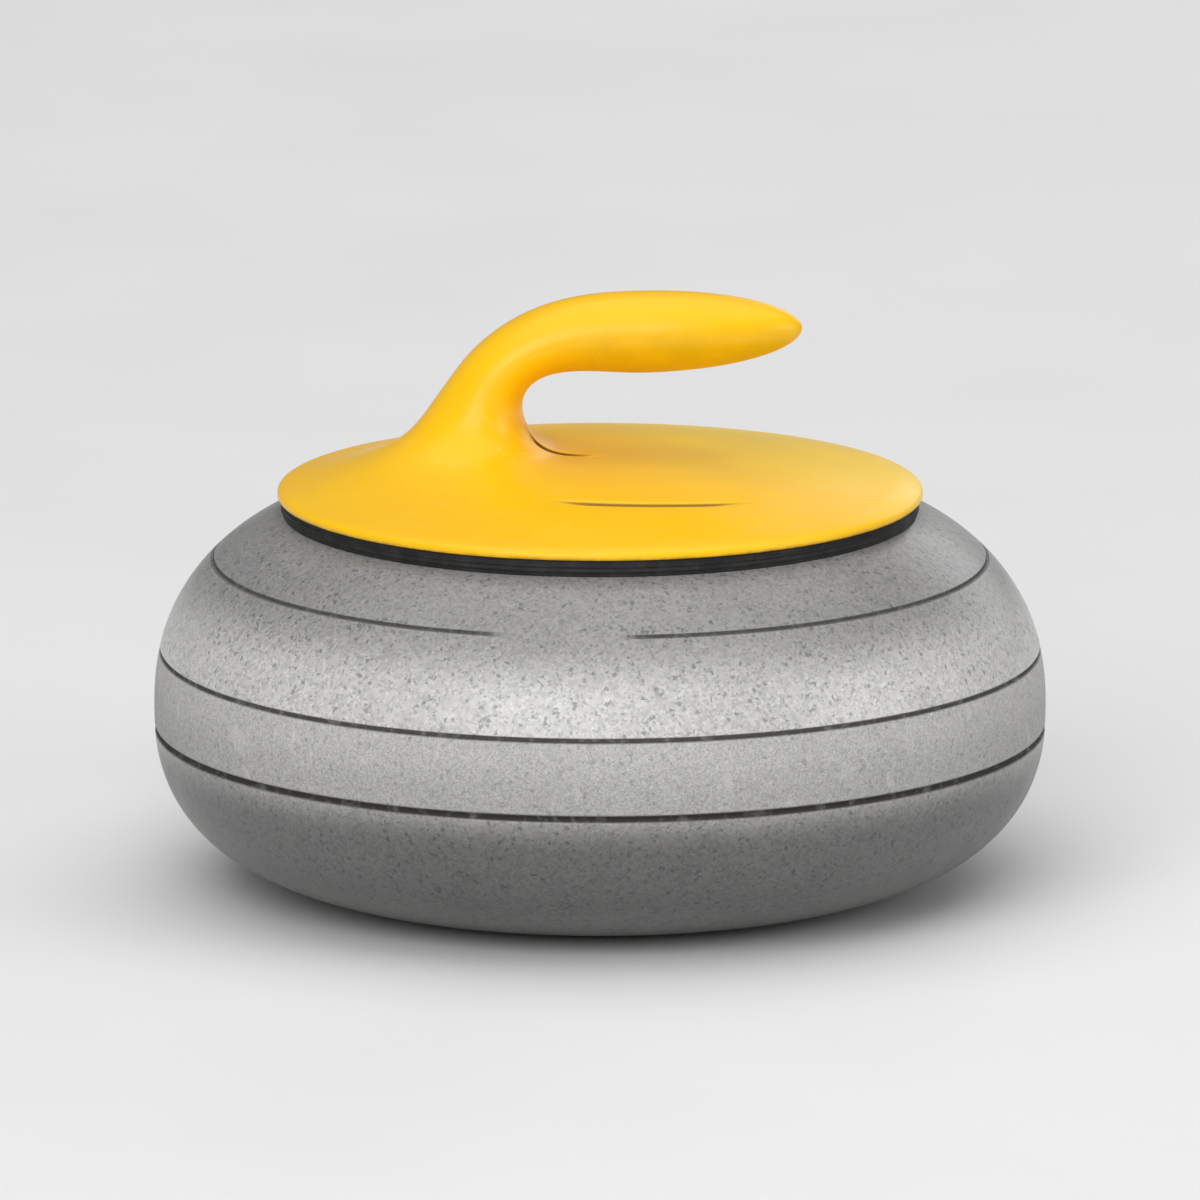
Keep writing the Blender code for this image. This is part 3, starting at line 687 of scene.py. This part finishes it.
def hex_bolt(material):
    """The clamp bolt, head down: a chamfered hexagon with a dished face, a shank and a thread."""
    hexagon = hex_radii(BOLT_ACROSS_FLATS)
    flat = BOLT_ACROSS_FLATS / 2
    chamfer = (hexagon - 0.94 * flat) * math.tan(math.radians(30))
    rings = [
        round_ring(BOLT_HEAD_BOTTOM + 0.3 * MM, 0.30 * flat),
        round_ring(BOLT_HEAD_BOTTOM + 0.3 * MM, 0.66 * flat),
        round_ring(BOLT_HEAD_BOTTOM, 0.74 * flat),
        round_ring(BOLT_HEAD_BOTTOM, 0.94 * flat),
        round_ring(BOLT_HEAD_BOTTOM + chamfer, hexagon),
        round_ring(BOLT_HEAD_TOP - 0.35 * MM, hexagon),
        round_ring(BOLT_HEAD_TOP - 0.35 * MM, 0.97 * flat),
        round_ring(BOLT_HEAD_TOP, 0.97 * flat),
        round_ring(BOLT_HEAD_TOP, BOLT_RADIUS + 0.5 * MM),
        round_ring(BOLT_HEAD_TOP + 0.5 * MM, BOLT_RADIUS),
    ]
    thread_start = BOLT_END - BOLT_THREAD_LENGTH
    rings += thread_rings(thread_start, BOLT_END, BOLT_RADIUS, BOLT_THREAD_DEPTH, BOLT_PITCH)
    rings.append(round_ring(BOLT_END, BOLT_RADIUS - 1.1 * MM))
    return add_piece("hex_bolt", *capped(rings), material, "steel", "clamp_bolt", 24)


def washer_section(size, edge, steps=5):
    inner, outer, bottom, top = size
    return rounded([(inner, bottom), (outer, bottom), (outer, top), (inner, top)], edge, steps)


def flat_washer(name, node, slot, material, size, edge):
    verts, faces = turned(washer_section(size, edge), WASHER_SEGMENTS)
    return add_piece(name, verts, faces, material, slot, node, 50)


def spring_washer(material):
    """One turn of flat wire whose ends stand a little apart, as they do under load."""
    section = washer_section(SPRING_WASHER, 0.25 * MM, 3)
    rings = []
    for share in np.linspace(0, 1, SPRING_STEPS):
        angle = SPRING_SPLIT / 2 + (math.tau - SPRING_SPLIT) * share
        lift = SPRING_RISE * (share - 0.5)
        rings.append([(r * math.cos(angle), r * math.sin(angle), z + lift) for r, z in section])
    return add_piece("spring_washer", *capped(rings), material, "steel", "lock_washer", 40)


def plate_screw(number, material):
    """Button-head screw with a hexagon socket, driven up into the cover's boss."""
    node = f"plate_screw_{number}"
    low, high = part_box(node)
    centre = ((low[0] + high[0]) / 2, (low[1] + high[1]) / 2)
    bottom, end = low[2], high[2]
    seat = bottom + SCREW_CROWN[-1][1]
    at = (centre, SCREW_SEGMENTS)
    socket = hex_radii(SCREW_SOCKET_FLATS, SCREW_SEGMENTS)
    rings = [round_ring(bottom + SCREW_SOCKET_DEPTH, socket * 0.9, *at), round_ring(bottom, socket, *at)]
    rings += [round_ring(bottom + height, radius, *at) for radius, height in SCREW_CROWN]
    rings.append(round_ring(seat, SCREW_RADIUS, *at))
    start, stop = seat + 0.2 * MM, end - SCREW_POINT_LENGTH
    rings += thread_rings(start, stop, SCREW_RADIUS, SCREW_THREAD_DEPTH, SCREW_PITCH, *at)
    rings.append(round_ring(end, SCREW_POINT_RADIUS, *at))
    return add_piece(f"socket_screw_{number}", *capped(rings), material, "steel", node, 30)


# ---- Materials ----


class Look:
    """A material under construction: a Principled shader and the nodes that feed it.
    Its patterns are laid out in the object's own metres."""

    def __init__(self, name, **constants):
        self.material = bpy.data.materials.new(name)
        self.material.use_nodes = True
        self.tree = self.material.node_tree
        self.shader = self.tree.nodes["Principled BSDF"]
        for socket, value in constants.items():
            self.shader.inputs[socket.replace("_", " ")].default_value = value
        self.place = self.add("TexCoord").outputs["Object"]
        apart = self.add("SeparateXYZ", {"Vector": self.place})
        self.x, self.y, self.z = (apart.outputs[axis] for axis in "XYZ")

    def add(self, kind, inputs=None, **settings):
        node = self.tree.nodes.new("ShaderNode" + kind)
        for setting, value in settings.items():
            setattr(node, setting, value)
        for socket, value in (inputs or {}).items():
            if isinstance(value, bpy.types.NodeSocket):
                self.tree.links.new(value, node.inputs[socket])
            else:
                node.inputs[socket].default_value = value
        return node

    def math(self, operation, a, b=0.0):
        return self.add("Math", {0: a, 1: b}, operation=operation).outputs[0]

    def product(self, first, *others):
        for other in others:
            first = self.math("MULTIPLY", first, other)
        return first

    def most(self, first, *others):
        for other in others:
            first = self.math("MAXIMUM", first, other)
        return first

    def ramp(self, value, low, high, start=0.0, end=1.0):
        """start below low, end above high, and a smooth change between them."""
        inputs = {"Value": value, "From Min": low, "From Max": high, "To Min": start, "To Max": end}
        return self.add("MapRange", inputs, interpolation_type="SMOOTHSTEP").outputs[0]

    def noise(self, scale, detail=2.0, roughness=0.5, place=None):
        inputs = {
            "Vector": place or self.place,
            "Scale": scale,
            "Detail": detail,
            "Roughness": roughness,
        }
        return self.add("TexNoise", inputs).outputs["Fac"]

    def stretched(self, x, y, z):
        inputs = {0: self.place, 1: (x, y, z)}
        return self.add("VectorMath", inputs, operation="MULTIPLY").outputs[0]

    def warped(self, scale, amount):
        """The place, pushed about by a noise, so that patterns lose their straight edges."""
        noise = self.add("TexNoise", {"Vector": self.place, "Scale": scale, "Detail": 2.0})
        inputs = {0: noise.outputs["Color"], 1: (0.5, 0.5, 0.5)}
        centred = self.add("VectorMath", inputs, operation="SUBTRACT")
        inputs = {0: centred.outputs[0], "Scale": amount}
        shift = self.add("VectorMath", inputs, operation="SCALE")
        inputs = {0: self.place, 1: shift.outputs[0]}
        return self.add("VectorMath", inputs, operation="ADD").outputs[0]

    def cells(self, scale, place):
        """A random number for each crystal of a cell pattern."""
        cell = self.add("TexVoronoi", {"Vector": place, "Scale": scale})
        return self.add("SeparateColor", {"Color": cell.outputs["Color"]}).outputs["Red"]

    def scratches(self, scale, reach, *turns):
        """1 along fine straight scratches that run at the given turns about Z, and 0 elsewhere.
        Each scratch is the middle of a cell stretched fifty times along X."""
        found = []
        for turn in turns:
            inputs = {"Vector": self.place, "Angle": math.radians(turn)}
            place = self.add("VectorRotate", inputs, rotation_type="Z_AXIS").outputs[0]
            along = self.add("VectorMath", {0: place, 1: (0.02, 0, 0)}, operation="DOT_PRODUCT")
            across = self.add("VectorMath", {0: place, 1: (0, 1, 0.6)}, operation="DOT_PRODUCT")
            flat = self.add("CombineXYZ", {"X": along.outputs["Value"], "Y": across.outputs["Value"]})
            inputs = {"Vector": flat.outputs[0], "Scale": scale}
            cell = self.add("TexVoronoi", inputs, voronoi_dimensions="2D")
            chance = self.add("SeparateColor", {"Color": cell.outputs["Color"]}).outputs["Red"]
            line = self.ramp(cell.outputs["Distance"], reach * 0.3, reach, 1, 0)
            found.append(self.product(line, self.ramp(chance, 0.3, 0.9)))
        return self.most(*found)

    def colours(self, value, *stops):
        """A colour ramp with (position, colour) stops."""
        node = self.add("ValToRGB", {"Fac": value})
        elements = node.color_ramp.elements
        while len(elements) < len(stops):
            elements.new(0.5)
        for element, (position, colour) in zip(elements, stops):
            element.position = position
            element.color = (*colour, 1)
        return node

    def mix(self, share, a, b, blend="MIX"):
        node = self.add("Mix", data_type="RGBA", blend_type=blend)
        for socket, value in ((0, share), (6, a), (7, b)):
            if isinstance(value, bpy.types.NodeSocket):
                self.tree.links.new(value, node.inputs[socket])
            else:
                node.inputs[socket].default_value = value if socket == 0 else (*value, 1)
        return node.outputs[2]

    def tint(self, colour, share, low, high):
        """Multiplies a colour by a grey that runs from low to high as share goes from 0 to 1."""
        grey = self.ramp(share, 0, 1, low, high)
        grey = self.add("CombineColor", {"Red": grey, "Green": grey, "Blue": grey}).outputs[0]
        return self.mix(1.0, colour, grey, "MULTIPLY")

    def bump(self, height, distance, strength=1.0, under=None):
        inputs = {"Height": height, "Distance": distance, "Strength": strength}
        if under:
            inputs["Normal"] = under
        return self.add("Bump", inputs).outputs[0]

    def feed(self, **sockets):
        for socket, value in sockets.items():
            self.tree.links.new(value, self.shader.inputs[socket.replace("_", " ")])
        return self.material


def near_height(look, height, half):
    """1 at a height, falling to 0 at half above and below it."""
    away = look.math("ABSOLUTE", look.math("SUBTRACT", look.z, height))
    return look.ramp(away, half * 0.45, half, 1, 0)


def granite():
    """Light grey granite, polished and pecked; painted shade and light by height, painted shade in its
    grooves.
    """
    look = Look("granite", IOR=1.54)
    crystals = look.warped(520, 1.2 * MM)
    mineral = look.colours(
        look.cells(880, crystals),
        (0.0, (0.455, 0.449, 0.442)),
        (0.26, (0.500, 0.493, 0.484)),
        (0.42, (0.545, 0.536, 0.525)),
        (0.70, (0.585, 0.575, 0.560)),
        (0.88, (0.630, 0.619, 0.601)),
        (0.95, (0.560, 0.515, 0.478)),
        (0.97, (0.300, 0.300, 0.302)),
    ).outputs[0]
    specks = look.ramp(look.cells(1500, look.warped(900, 0.6 * MM)), 0.90, 0.92)
    colour = look.mix(look.product(specks, 0.42), mineral, (0.160, 0.162, 0.168))
    pale = look.ramp(look.cells(1750, look.warped(700, 0.5 * MM)), 0.93, 0.95)
    colour = look.mix(look.product(pale, 0.5), colour, (0.80, 0.79, 0.76))
    colour = look.tint(colour, look.noise(16, 4, 0.6), 0.88, 1.10)

    band = look.product(
        look.ramp(look.z, BAND_BOTTOM - 0.4 * MM, BAND_BOTTOM + 0.6 * MM),
        look.ramp(look.z, BAND_TOP - 0.6 * MM, BAND_TOP + 0.4 * MM, 1, 0),
    )
    # Painted shade by height on the polished granite, and painted light at its foot.
    polish_painted_shade = look.tint(colour, look.ramp(look.z, *PAINTED_SHADE_UNDER_COVER), 0.93, 0.45)
    polish_painted_shade = look.tint(polish_painted_shade, look.ramp(look.z, *PAINTED_SHADE_BELOW_BAND), 0.22, 1.0)
    polish_painted_shade = look.tint(polish_painted_shade, look.ramp(look.z, *PAINTED_LIGHT_FOOT), 1.35, 1.0)
    pecked = look.mix(0.42, colour, (0.64, 0.63, 0.61))
    pits = look.noise(1500, 3, 0.7)
    pecked = look.tint(pecked, look.ramp(pits, 0.35, 0.62), 0.78, 1.06)
    # Painted shade: the band darkens towards its lower edge.
    pecked = look.tint(pecked, look.ramp(look.z, BAND_BOTTOM, BAND_TOP), 0.65, 0.79)
    colour = look.mix(band, polish_painted_shade, pecked)

    # Bruises where stones have met, and painted shade, near black, in the turned lines.
    bruise = look.product(look.ramp(look.noise(75, 3, 0.65), 0.60, 0.70), band)
    colour = look.mix(look.product(bruise, 0.26), colour, (0.68, 0.67, 0.65))
    in_front = look.ramp(look.y, -10 * MM, 0, 1, 0)
    from_gap = look.math("ABSOLUTE", look.math("SUBTRACT", look.x, WORN_MIDDLE_X))
    gap = look.product(look.ramp(from_gap, *WORN_REACH, 1, 0), in_front)
    lines = look.most(
        near_height(look, BAND_BOTTOM, 1.55 * MM),
        look.product(near_height(look, BAND_TOP, 1.15 * MM), 0.92),
        look.product(near_height(look, SHOULDER_LINE, 0.8 * MM), look.ramp(gap, 0, 1, 0.85, 0.0)),
    )
    lines = look.product(lines, look.ramp(look.noise(260, 3), 0.25, 0.5, 0.75, 1.0))
    colour = look.mix(lines, colour, (0.022, 0.020, 0.018))

    smears = look.ramp(look.noise(22, 5, 0.62), 0.35, 0.7, 0.30, 0.42)
    scratches = look.scratches(350, 0.05, 20, -35)
    polished_rough = look.math("ADD", smears, look.product(scratches, 0.22))
    pecked_rough = look.ramp(pits, 0.3, 0.7, 0.55, 0.78)
    rough = look.add("Mix", {0: band, 2: polished_rough, 3: pecked_rough}, data_type="FLOAT").outputs[0]
    rough = look.most(rough, look.product(lines, 0.85))

    relief = look.product(look.math("ADD", pits, look.noise(520, 2)), band)
    chips = look.product(look.ramp(look.noise(210, 2, 0.4), 0.66, 0.72, 1, 0), band)
    normal = look.bump(relief, 0.35 * MM, 0.8)
    normal = look.bump(chips, 0.25 * MM, 0.6, normal)
    normal = look.bump(look.math("ADD", look.cells(880, crystals), scratches), 0.012 * MM, 0.5, normal)
    return look.feed(Base_Color=colour, Roughness=rough, Normal=normal)


def insert_granite():
    """Fine blue-grey granite, honed, with its running band frosted by use."""
    look = Look("insert_granite", IOR=1.54)
    flat = look.stretched(1, 1, 0)
    radius = look.add("VectorMath", {0: flat}, operation="LENGTH").outputs["Value"]
    mineral = look.colours(
        look.cells(1300, look.warped(800, 0.7 * MM)),
        (0.0, (0.085, 0.095, 0.108)),
        (0.35, (0.125, 0.138, 0.152)),
        (0.75, (0.170, 0.184, 0.198)),
        (0.95, (0.290, 0.300, 0.310)),
    ).outputs[0]
    colour = look.tint(mineral, look.noise(30, 4, 0.6), 0.85, 1.15)
    band = look.product(
        look.ramp(radius, LEVEL_RADIUS - 1.2 * MM, LEVEL_RADIUS + 0.4 * MM),
        look.ramp(radius, RUNNING_BAND_OUTER - 0.2 * MM, RUNNING_BAND_OUTER + 0.9 * MM, 1, 0),
    )
    scratch = look.scratches(420, 0.05, 10, 70, -50)
    frosted = look.product(band, look.ramp(look.noise(300, 3, 0.7), 0.3, 0.65, 0.35, 0.8))
    colour = look.mix(frosted, colour, (0.38, 0.40, 0.42))
    rough = look.ramp(look.noise(40, 4, 0.6), 0.3, 0.7, 0.32, 0.45)
    rough = look.math("ADD", rough, look.product(band, 0.3))
    height = look.math("ADD", look.noise(1600, 2), scratch)
    normal = look.bump(height, 0.03 * MM, 0.6)
    return look.feed(Base_Color=colour, Roughness=rough, Normal=normal)


def crease_painted_shade(look, crease):
    """Share of painted shade in a crease of the dome: most on its far wall, and tapering to its ends."""
    along = look.math("SUBTRACT", look.x, (crease.start + crease.end) / 2)
    turn = look.math("ADD", look.product(along, crease.bow), crease.slope)
    shifted_y = crease.y + crease.dirt_shift * crease.width
    middle = look.math("ADD", look.product(along, turn), shifted_y)
    away = look.math("ABSOLUTE", look.math("SUBTRACT", look.y, middle))
    begins = look.ramp(look.x, crease.start, crease.start + crease.fade_in)
    ends = look.ramp(look.x, crease.end - crease.fade_out, crease.end, 1, 0)
    on_dome = look.ramp(look.z, 144 * MM, 156 * MM, 1, 0)
    share = look.product(begins, ends, on_dome)
    reach = look.math("ADD", look.product(share, 0.36 * crease.width), 0.05 * MM)
    across = look.ramp(look.math("DIVIDE", away, reach), 0.25, 1, crease.dirt, 0)
    return look.product(across, share)


def handle_plastic():
    """Glossy yellow moulding, faint orange peel and hairline scuffs, with painted shade and a painted
    highlight.
    """
    gloss = {"IOR": 1.49, "Specular_IOR_Level": 0.32, "Coat_Weight": 0.05, "Coat_Roughness": 0.2}
    look = Look("handle_plastic", **gloss)
    colour = look.colours(
        look.noise(9, 3, 0.55),
        (0.25, (0.94, 0.510, 0.001)),
        (0.50, (0.97, 0.545, 0.001)),
        (0.75, (0.99, 0.575, 0.002)),
    ).outputs[0]
    # A painted highlight pales the dome beside the neck; painted shade darkens the grip's sides and
    # underside.
    painted_dome_highlight = look.product(
        look.ramp(look.x, -24 * MM, 36 * MM),
        look.ramp(look.y, -55 * MM, 5 * MM),
        look.ramp(look.z, 142 * MM, 150 * MM, 0.5, 0),
    )
    colour = look.mix(painted_dome_highlight, colour, (1.0, 0.74, 0.06))
    # Painted shade on the grip's sides and underside, a darker amber.
    painted_grip_shade = look.product(
        look.ramp(look.x, -30 * MM, 6 * MM),
        look.ramp(look.z, 156 * MM, 164 * MM),
        look.ramp(look.z, 176 * MM, 189 * MM, 1, 0),
        look.ramp(look.noise(55, 4, 0.6), 0.3, 0.7, 0.45, 0.8),
    )
    colour = look.mix(painted_grip_shade, colour, (0.62, 0.375, 0.004))

    # Scratches, fewer on the grip, which hands keep smooth.
    wear = look.most(look.scratches(300, 0.055, 8, -28), look.scratches(420, 0.065, 33, -64))
    wear = look.product(wear, look.ramp(look.z, 145 * MM, 165 * MM, 1, 0.3))
    colour = look.mix(look.product(wear, 0.35), colour, (1.0, 0.72, 0.24))

    # Painted shade in the creases, dark brown, most on each one's far wall.
    crease = look.most(*(crease_painted_shade(look, crease) for crease in CREASES))
    colour = look.mix(crease, colour, (0.11, 0.042, 0.005))

    # Dirt gathers along the rim and thins out upwards.
    rim_dirt = look.ramp(look.z, RIM_BOTTOM, RIM_BOTTOM + 1.6 * MM, 1, 0)
    rim_dirt = look.product(rim_dirt, look.ramp(look.noise(140, 4, 0.65), 0.35, 0.6, 0.1, 0.55))
    colour = look.mix(rim_dirt, colour, (0.24, 0.115, 0.020))

    rough = look.ramp(look.noise(26, 5, 0.65), 0.3, 0.7, 0.28, 0.42)
    for dulling, share in ((wear, 0.2), (rim_dirt, 0.3), (crease, 0.5)):
        rough = look.math("ADD", rough, look.product(dulling, share))
    orange_peel = look.noise(520, 1)
    normal = look.bump(orange_peel, 0.02 * MM, 0.4)
    normal = look.bump(wear, 0.01 * MM, 0.3, normal)
    return look.feed(Base_Color=colour, Roughness=rough, Normal=normal)


def rubber():
    """Black rubber with a dusty bloom."""
    look = Look("rubber", IOR=1.5, Specular_IOR_Level=0.35)
    bloom = look.ramp(look.noise(180, 4, 0.7), 0.4, 0.72)
    colour = look.mix(look.product(bloom, 0.5), (0.010, 0.010, 0.011), (0.045, 0.043, 0.041))
    rough = look.ramp(look.noise(90, 3), 0.3, 0.7, 0.58, 0.82)
    normal = look.bump(look.noise(2600, 2, 0.7), 0.03 * MM, 0.6)
    return look.feed(Base_Color=colour, Roughness=rough, Normal=normal)


def metal(name, light, dark, roughness, on_lathe=True):
    """Bare or plated metal with tool marks, stain and a worn sheen. A lathe's marks run round Z."""
    look = Look(name, Metallic=1.0)
    stain = look.noise(60, 5, 0.65)
    colour = look.mix(look.ramp(stain, 0.35, 0.68), light, dark)
    marks = look.noise(900, 2, 0.6, look.stretched(0.06, 0.06, 3.0) if on_lathe else None)
    sheen = look.ramp(stain, 0.3, 0.7, roughness, roughness + 0.16)
    rough = look.math("ADD", sheen, look.product(marks, 0.1))
    relief = look.math("ADD", marks, look.scratches(900, 0.06, 15, -60))
    normal = look.bump(relief, 0.02 * MM, 0.5)
    return look.feed(Base_Color=colour, Roughness=rough, Normal=normal)


def matte(name, light, dark, grain, roughness):
    """A dull cast or moulded material with clouding and a fine grain."""
    look = Look(name, IOR=1.5)
    colour = look.mix(look.ramp(look.noise(70, 4, 0.6), 0.3, 0.7), light, dark)
    rough = look.ramp(look.noise(110, 3), 0.3, 0.7, roughness, roughness + 0.2)
    normal = look.bump(look.noise(grain, 3, 0.65), 0.04 * MM, 0.6)
    return look.feed(Base_Color=colour, Roughness=rough, Normal=normal)


def floor_paint():
    """Pale studio floor with the faintest mottling."""
    look = Look("floor_paint", Specular_IOR_Level=0.25)
    mottling = look.ramp(look.noise(3, 4, 0.6), 0.3, 0.7)
    colour = look.mix(mottling, (0.795, 0.795, 0.79), (0.81, 0.81, 0.805))
    rough = look.ramp(look.noise(8, 3), 0.3, 0.7, 0.55, 0.65)
    return look.feed(Base_Color=colour, Roughness=rough)


# ---- Stage ----


def place_object(name, data):
    """An object of the stage, which isn't part of the stone."""
    obj = bpy.data.objects.new(name, data)
    bpy.context.scene.collection.objects.link(obj)
    return obj


def turn_to(obj, direction):
    """Turns a lamp or a camera to look along a direction."""
    obj.rotation_euler = direction.to_track_quat("-Z", "Y").to_euler()


def plain_floor():
    """One pale square, wide enough to fill the view to the horizon."""
    mesh = bpy.data.meshes.new("floor")
    corners = [(x * FLOOR_REACH, y * FLOOR_REACH, 0) for x, y in ((-1, -1), (1, -1), (1, 1), (-1, 1))]
    mesh.from_pydata(corners, [], [(0, 1, 2, 3)])
    mesh.materials.append(floor_paint())
    place_object("floor", mesh)


def soft_light():
    """A dim sky, three wide lamps and a broad overhead light."""
    world = bpy.data.worlds.new("studio")
    bpy.context.scene.world = world
    world.use_nodes = True
    background = world.node_tree.nodes["Background"]
    background.inputs["Color"].default_value = SKY_COLOUR
    background.inputs["Strength"].default_value = SKY_STRENGTH

    for name, place, width, height, power in LAMPS:
        light = bpy.data.lights.new(name, "AREA")
        light.shape = "RECTANGLE"
        light.size = width
        light.size_y = height
        light.energy = power
        lamp = place_object(name, light)
        lamp.location = place
        turn_to(lamp, LAMP_AIM - lamp.location)

    overhead = bpy.data.lights.new("overhead", "SUN")
    overhead.angle = OVERHEAD_SPREAD
    overhead.energy = OVERHEAD_STRENGTH
    place_object("overhead", overhead)


def low_camera():
    """A camera a little above the horizon, looking along +Y."""
    camera = bpy.data.cameras.new("camera")
    camera.lens = CAMERA_LENS
    camera.sensor_width = CAMERA_SENSOR
    eye = place_object("camera", camera)
    back = Vector((0, -math.cos(CAMERA_ELEVATION), math.sin(CAMERA_ELEVATION)))
    eye.location = CAMERA_AIM + back * CAMERA_DISTANCE
    turn_to(eye, -back)
    bpy.context.scene.camera = eye
    bpy.context.scene.view_settings.view_transform = "Standard"


def main():
    stone = granite()
    steel = metal("plated_steel", (0.66, 0.66, 0.67), (0.46, 0.45, 0.44), 0.28)
    black_rubber = rubber()
    polished_stone(stone)
    insert_disc(insert_granite())
    handle_moulding(handle_plastic())
    rim_seal(black_rubber)
    hex_bolt(steel)
    spring_washer(steel)
    flat_washer("plain_washer", "bolt_washer", "steel", steel, PLAIN_WASHER, 0.4 * MM)
    flat_washer("rubber_washer", "seat_washer", "rubber", black_rubber, RUBBER_WASHER, 0.6 * MM)
    for number in range(1, 5):
        plate_screw(number, steel)

    # These pieces keep the CAD's own shape, and only get a look.
    carried = {
        "insert_bond": matte("stone_epoxy", (0.60, 0.57, 0.50), (0.46, 0.43, 0.36), 900, 0.35),
        "bolt_sleeve": matte("nylon", (0.80, 0.79, 0.74), (0.70, 0.68, 0.62), 1500, 0.4),
        "seat_pad": black_rubber,
        "hub_spacer": metal("aluminium", (0.78, 0.79, 0.80), (0.62, 0.63, 0.64), 0.3),
        "core_plate": metal("plate_steel", (0.52, 0.51, 0.50), (0.34, 0.32, 0.30), 0.38, on_lathe=False),
        "core_rod": metal("rod_steel", (0.58, 0.57, 0.56), (0.36, 0.34, 0.32), 0.32, on_lathe=False),
        "threaded_bush": metal("brass", (0.76, 0.55, 0.24), (0.52, 0.36, 0.15), 0.3),
    }
    for node, material in carried.items():
        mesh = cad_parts[node].data
        mesh.materials.clear()
        mesh.materials.append(material)

    plain_floor()
    soft_light()
    low_camera()


main()
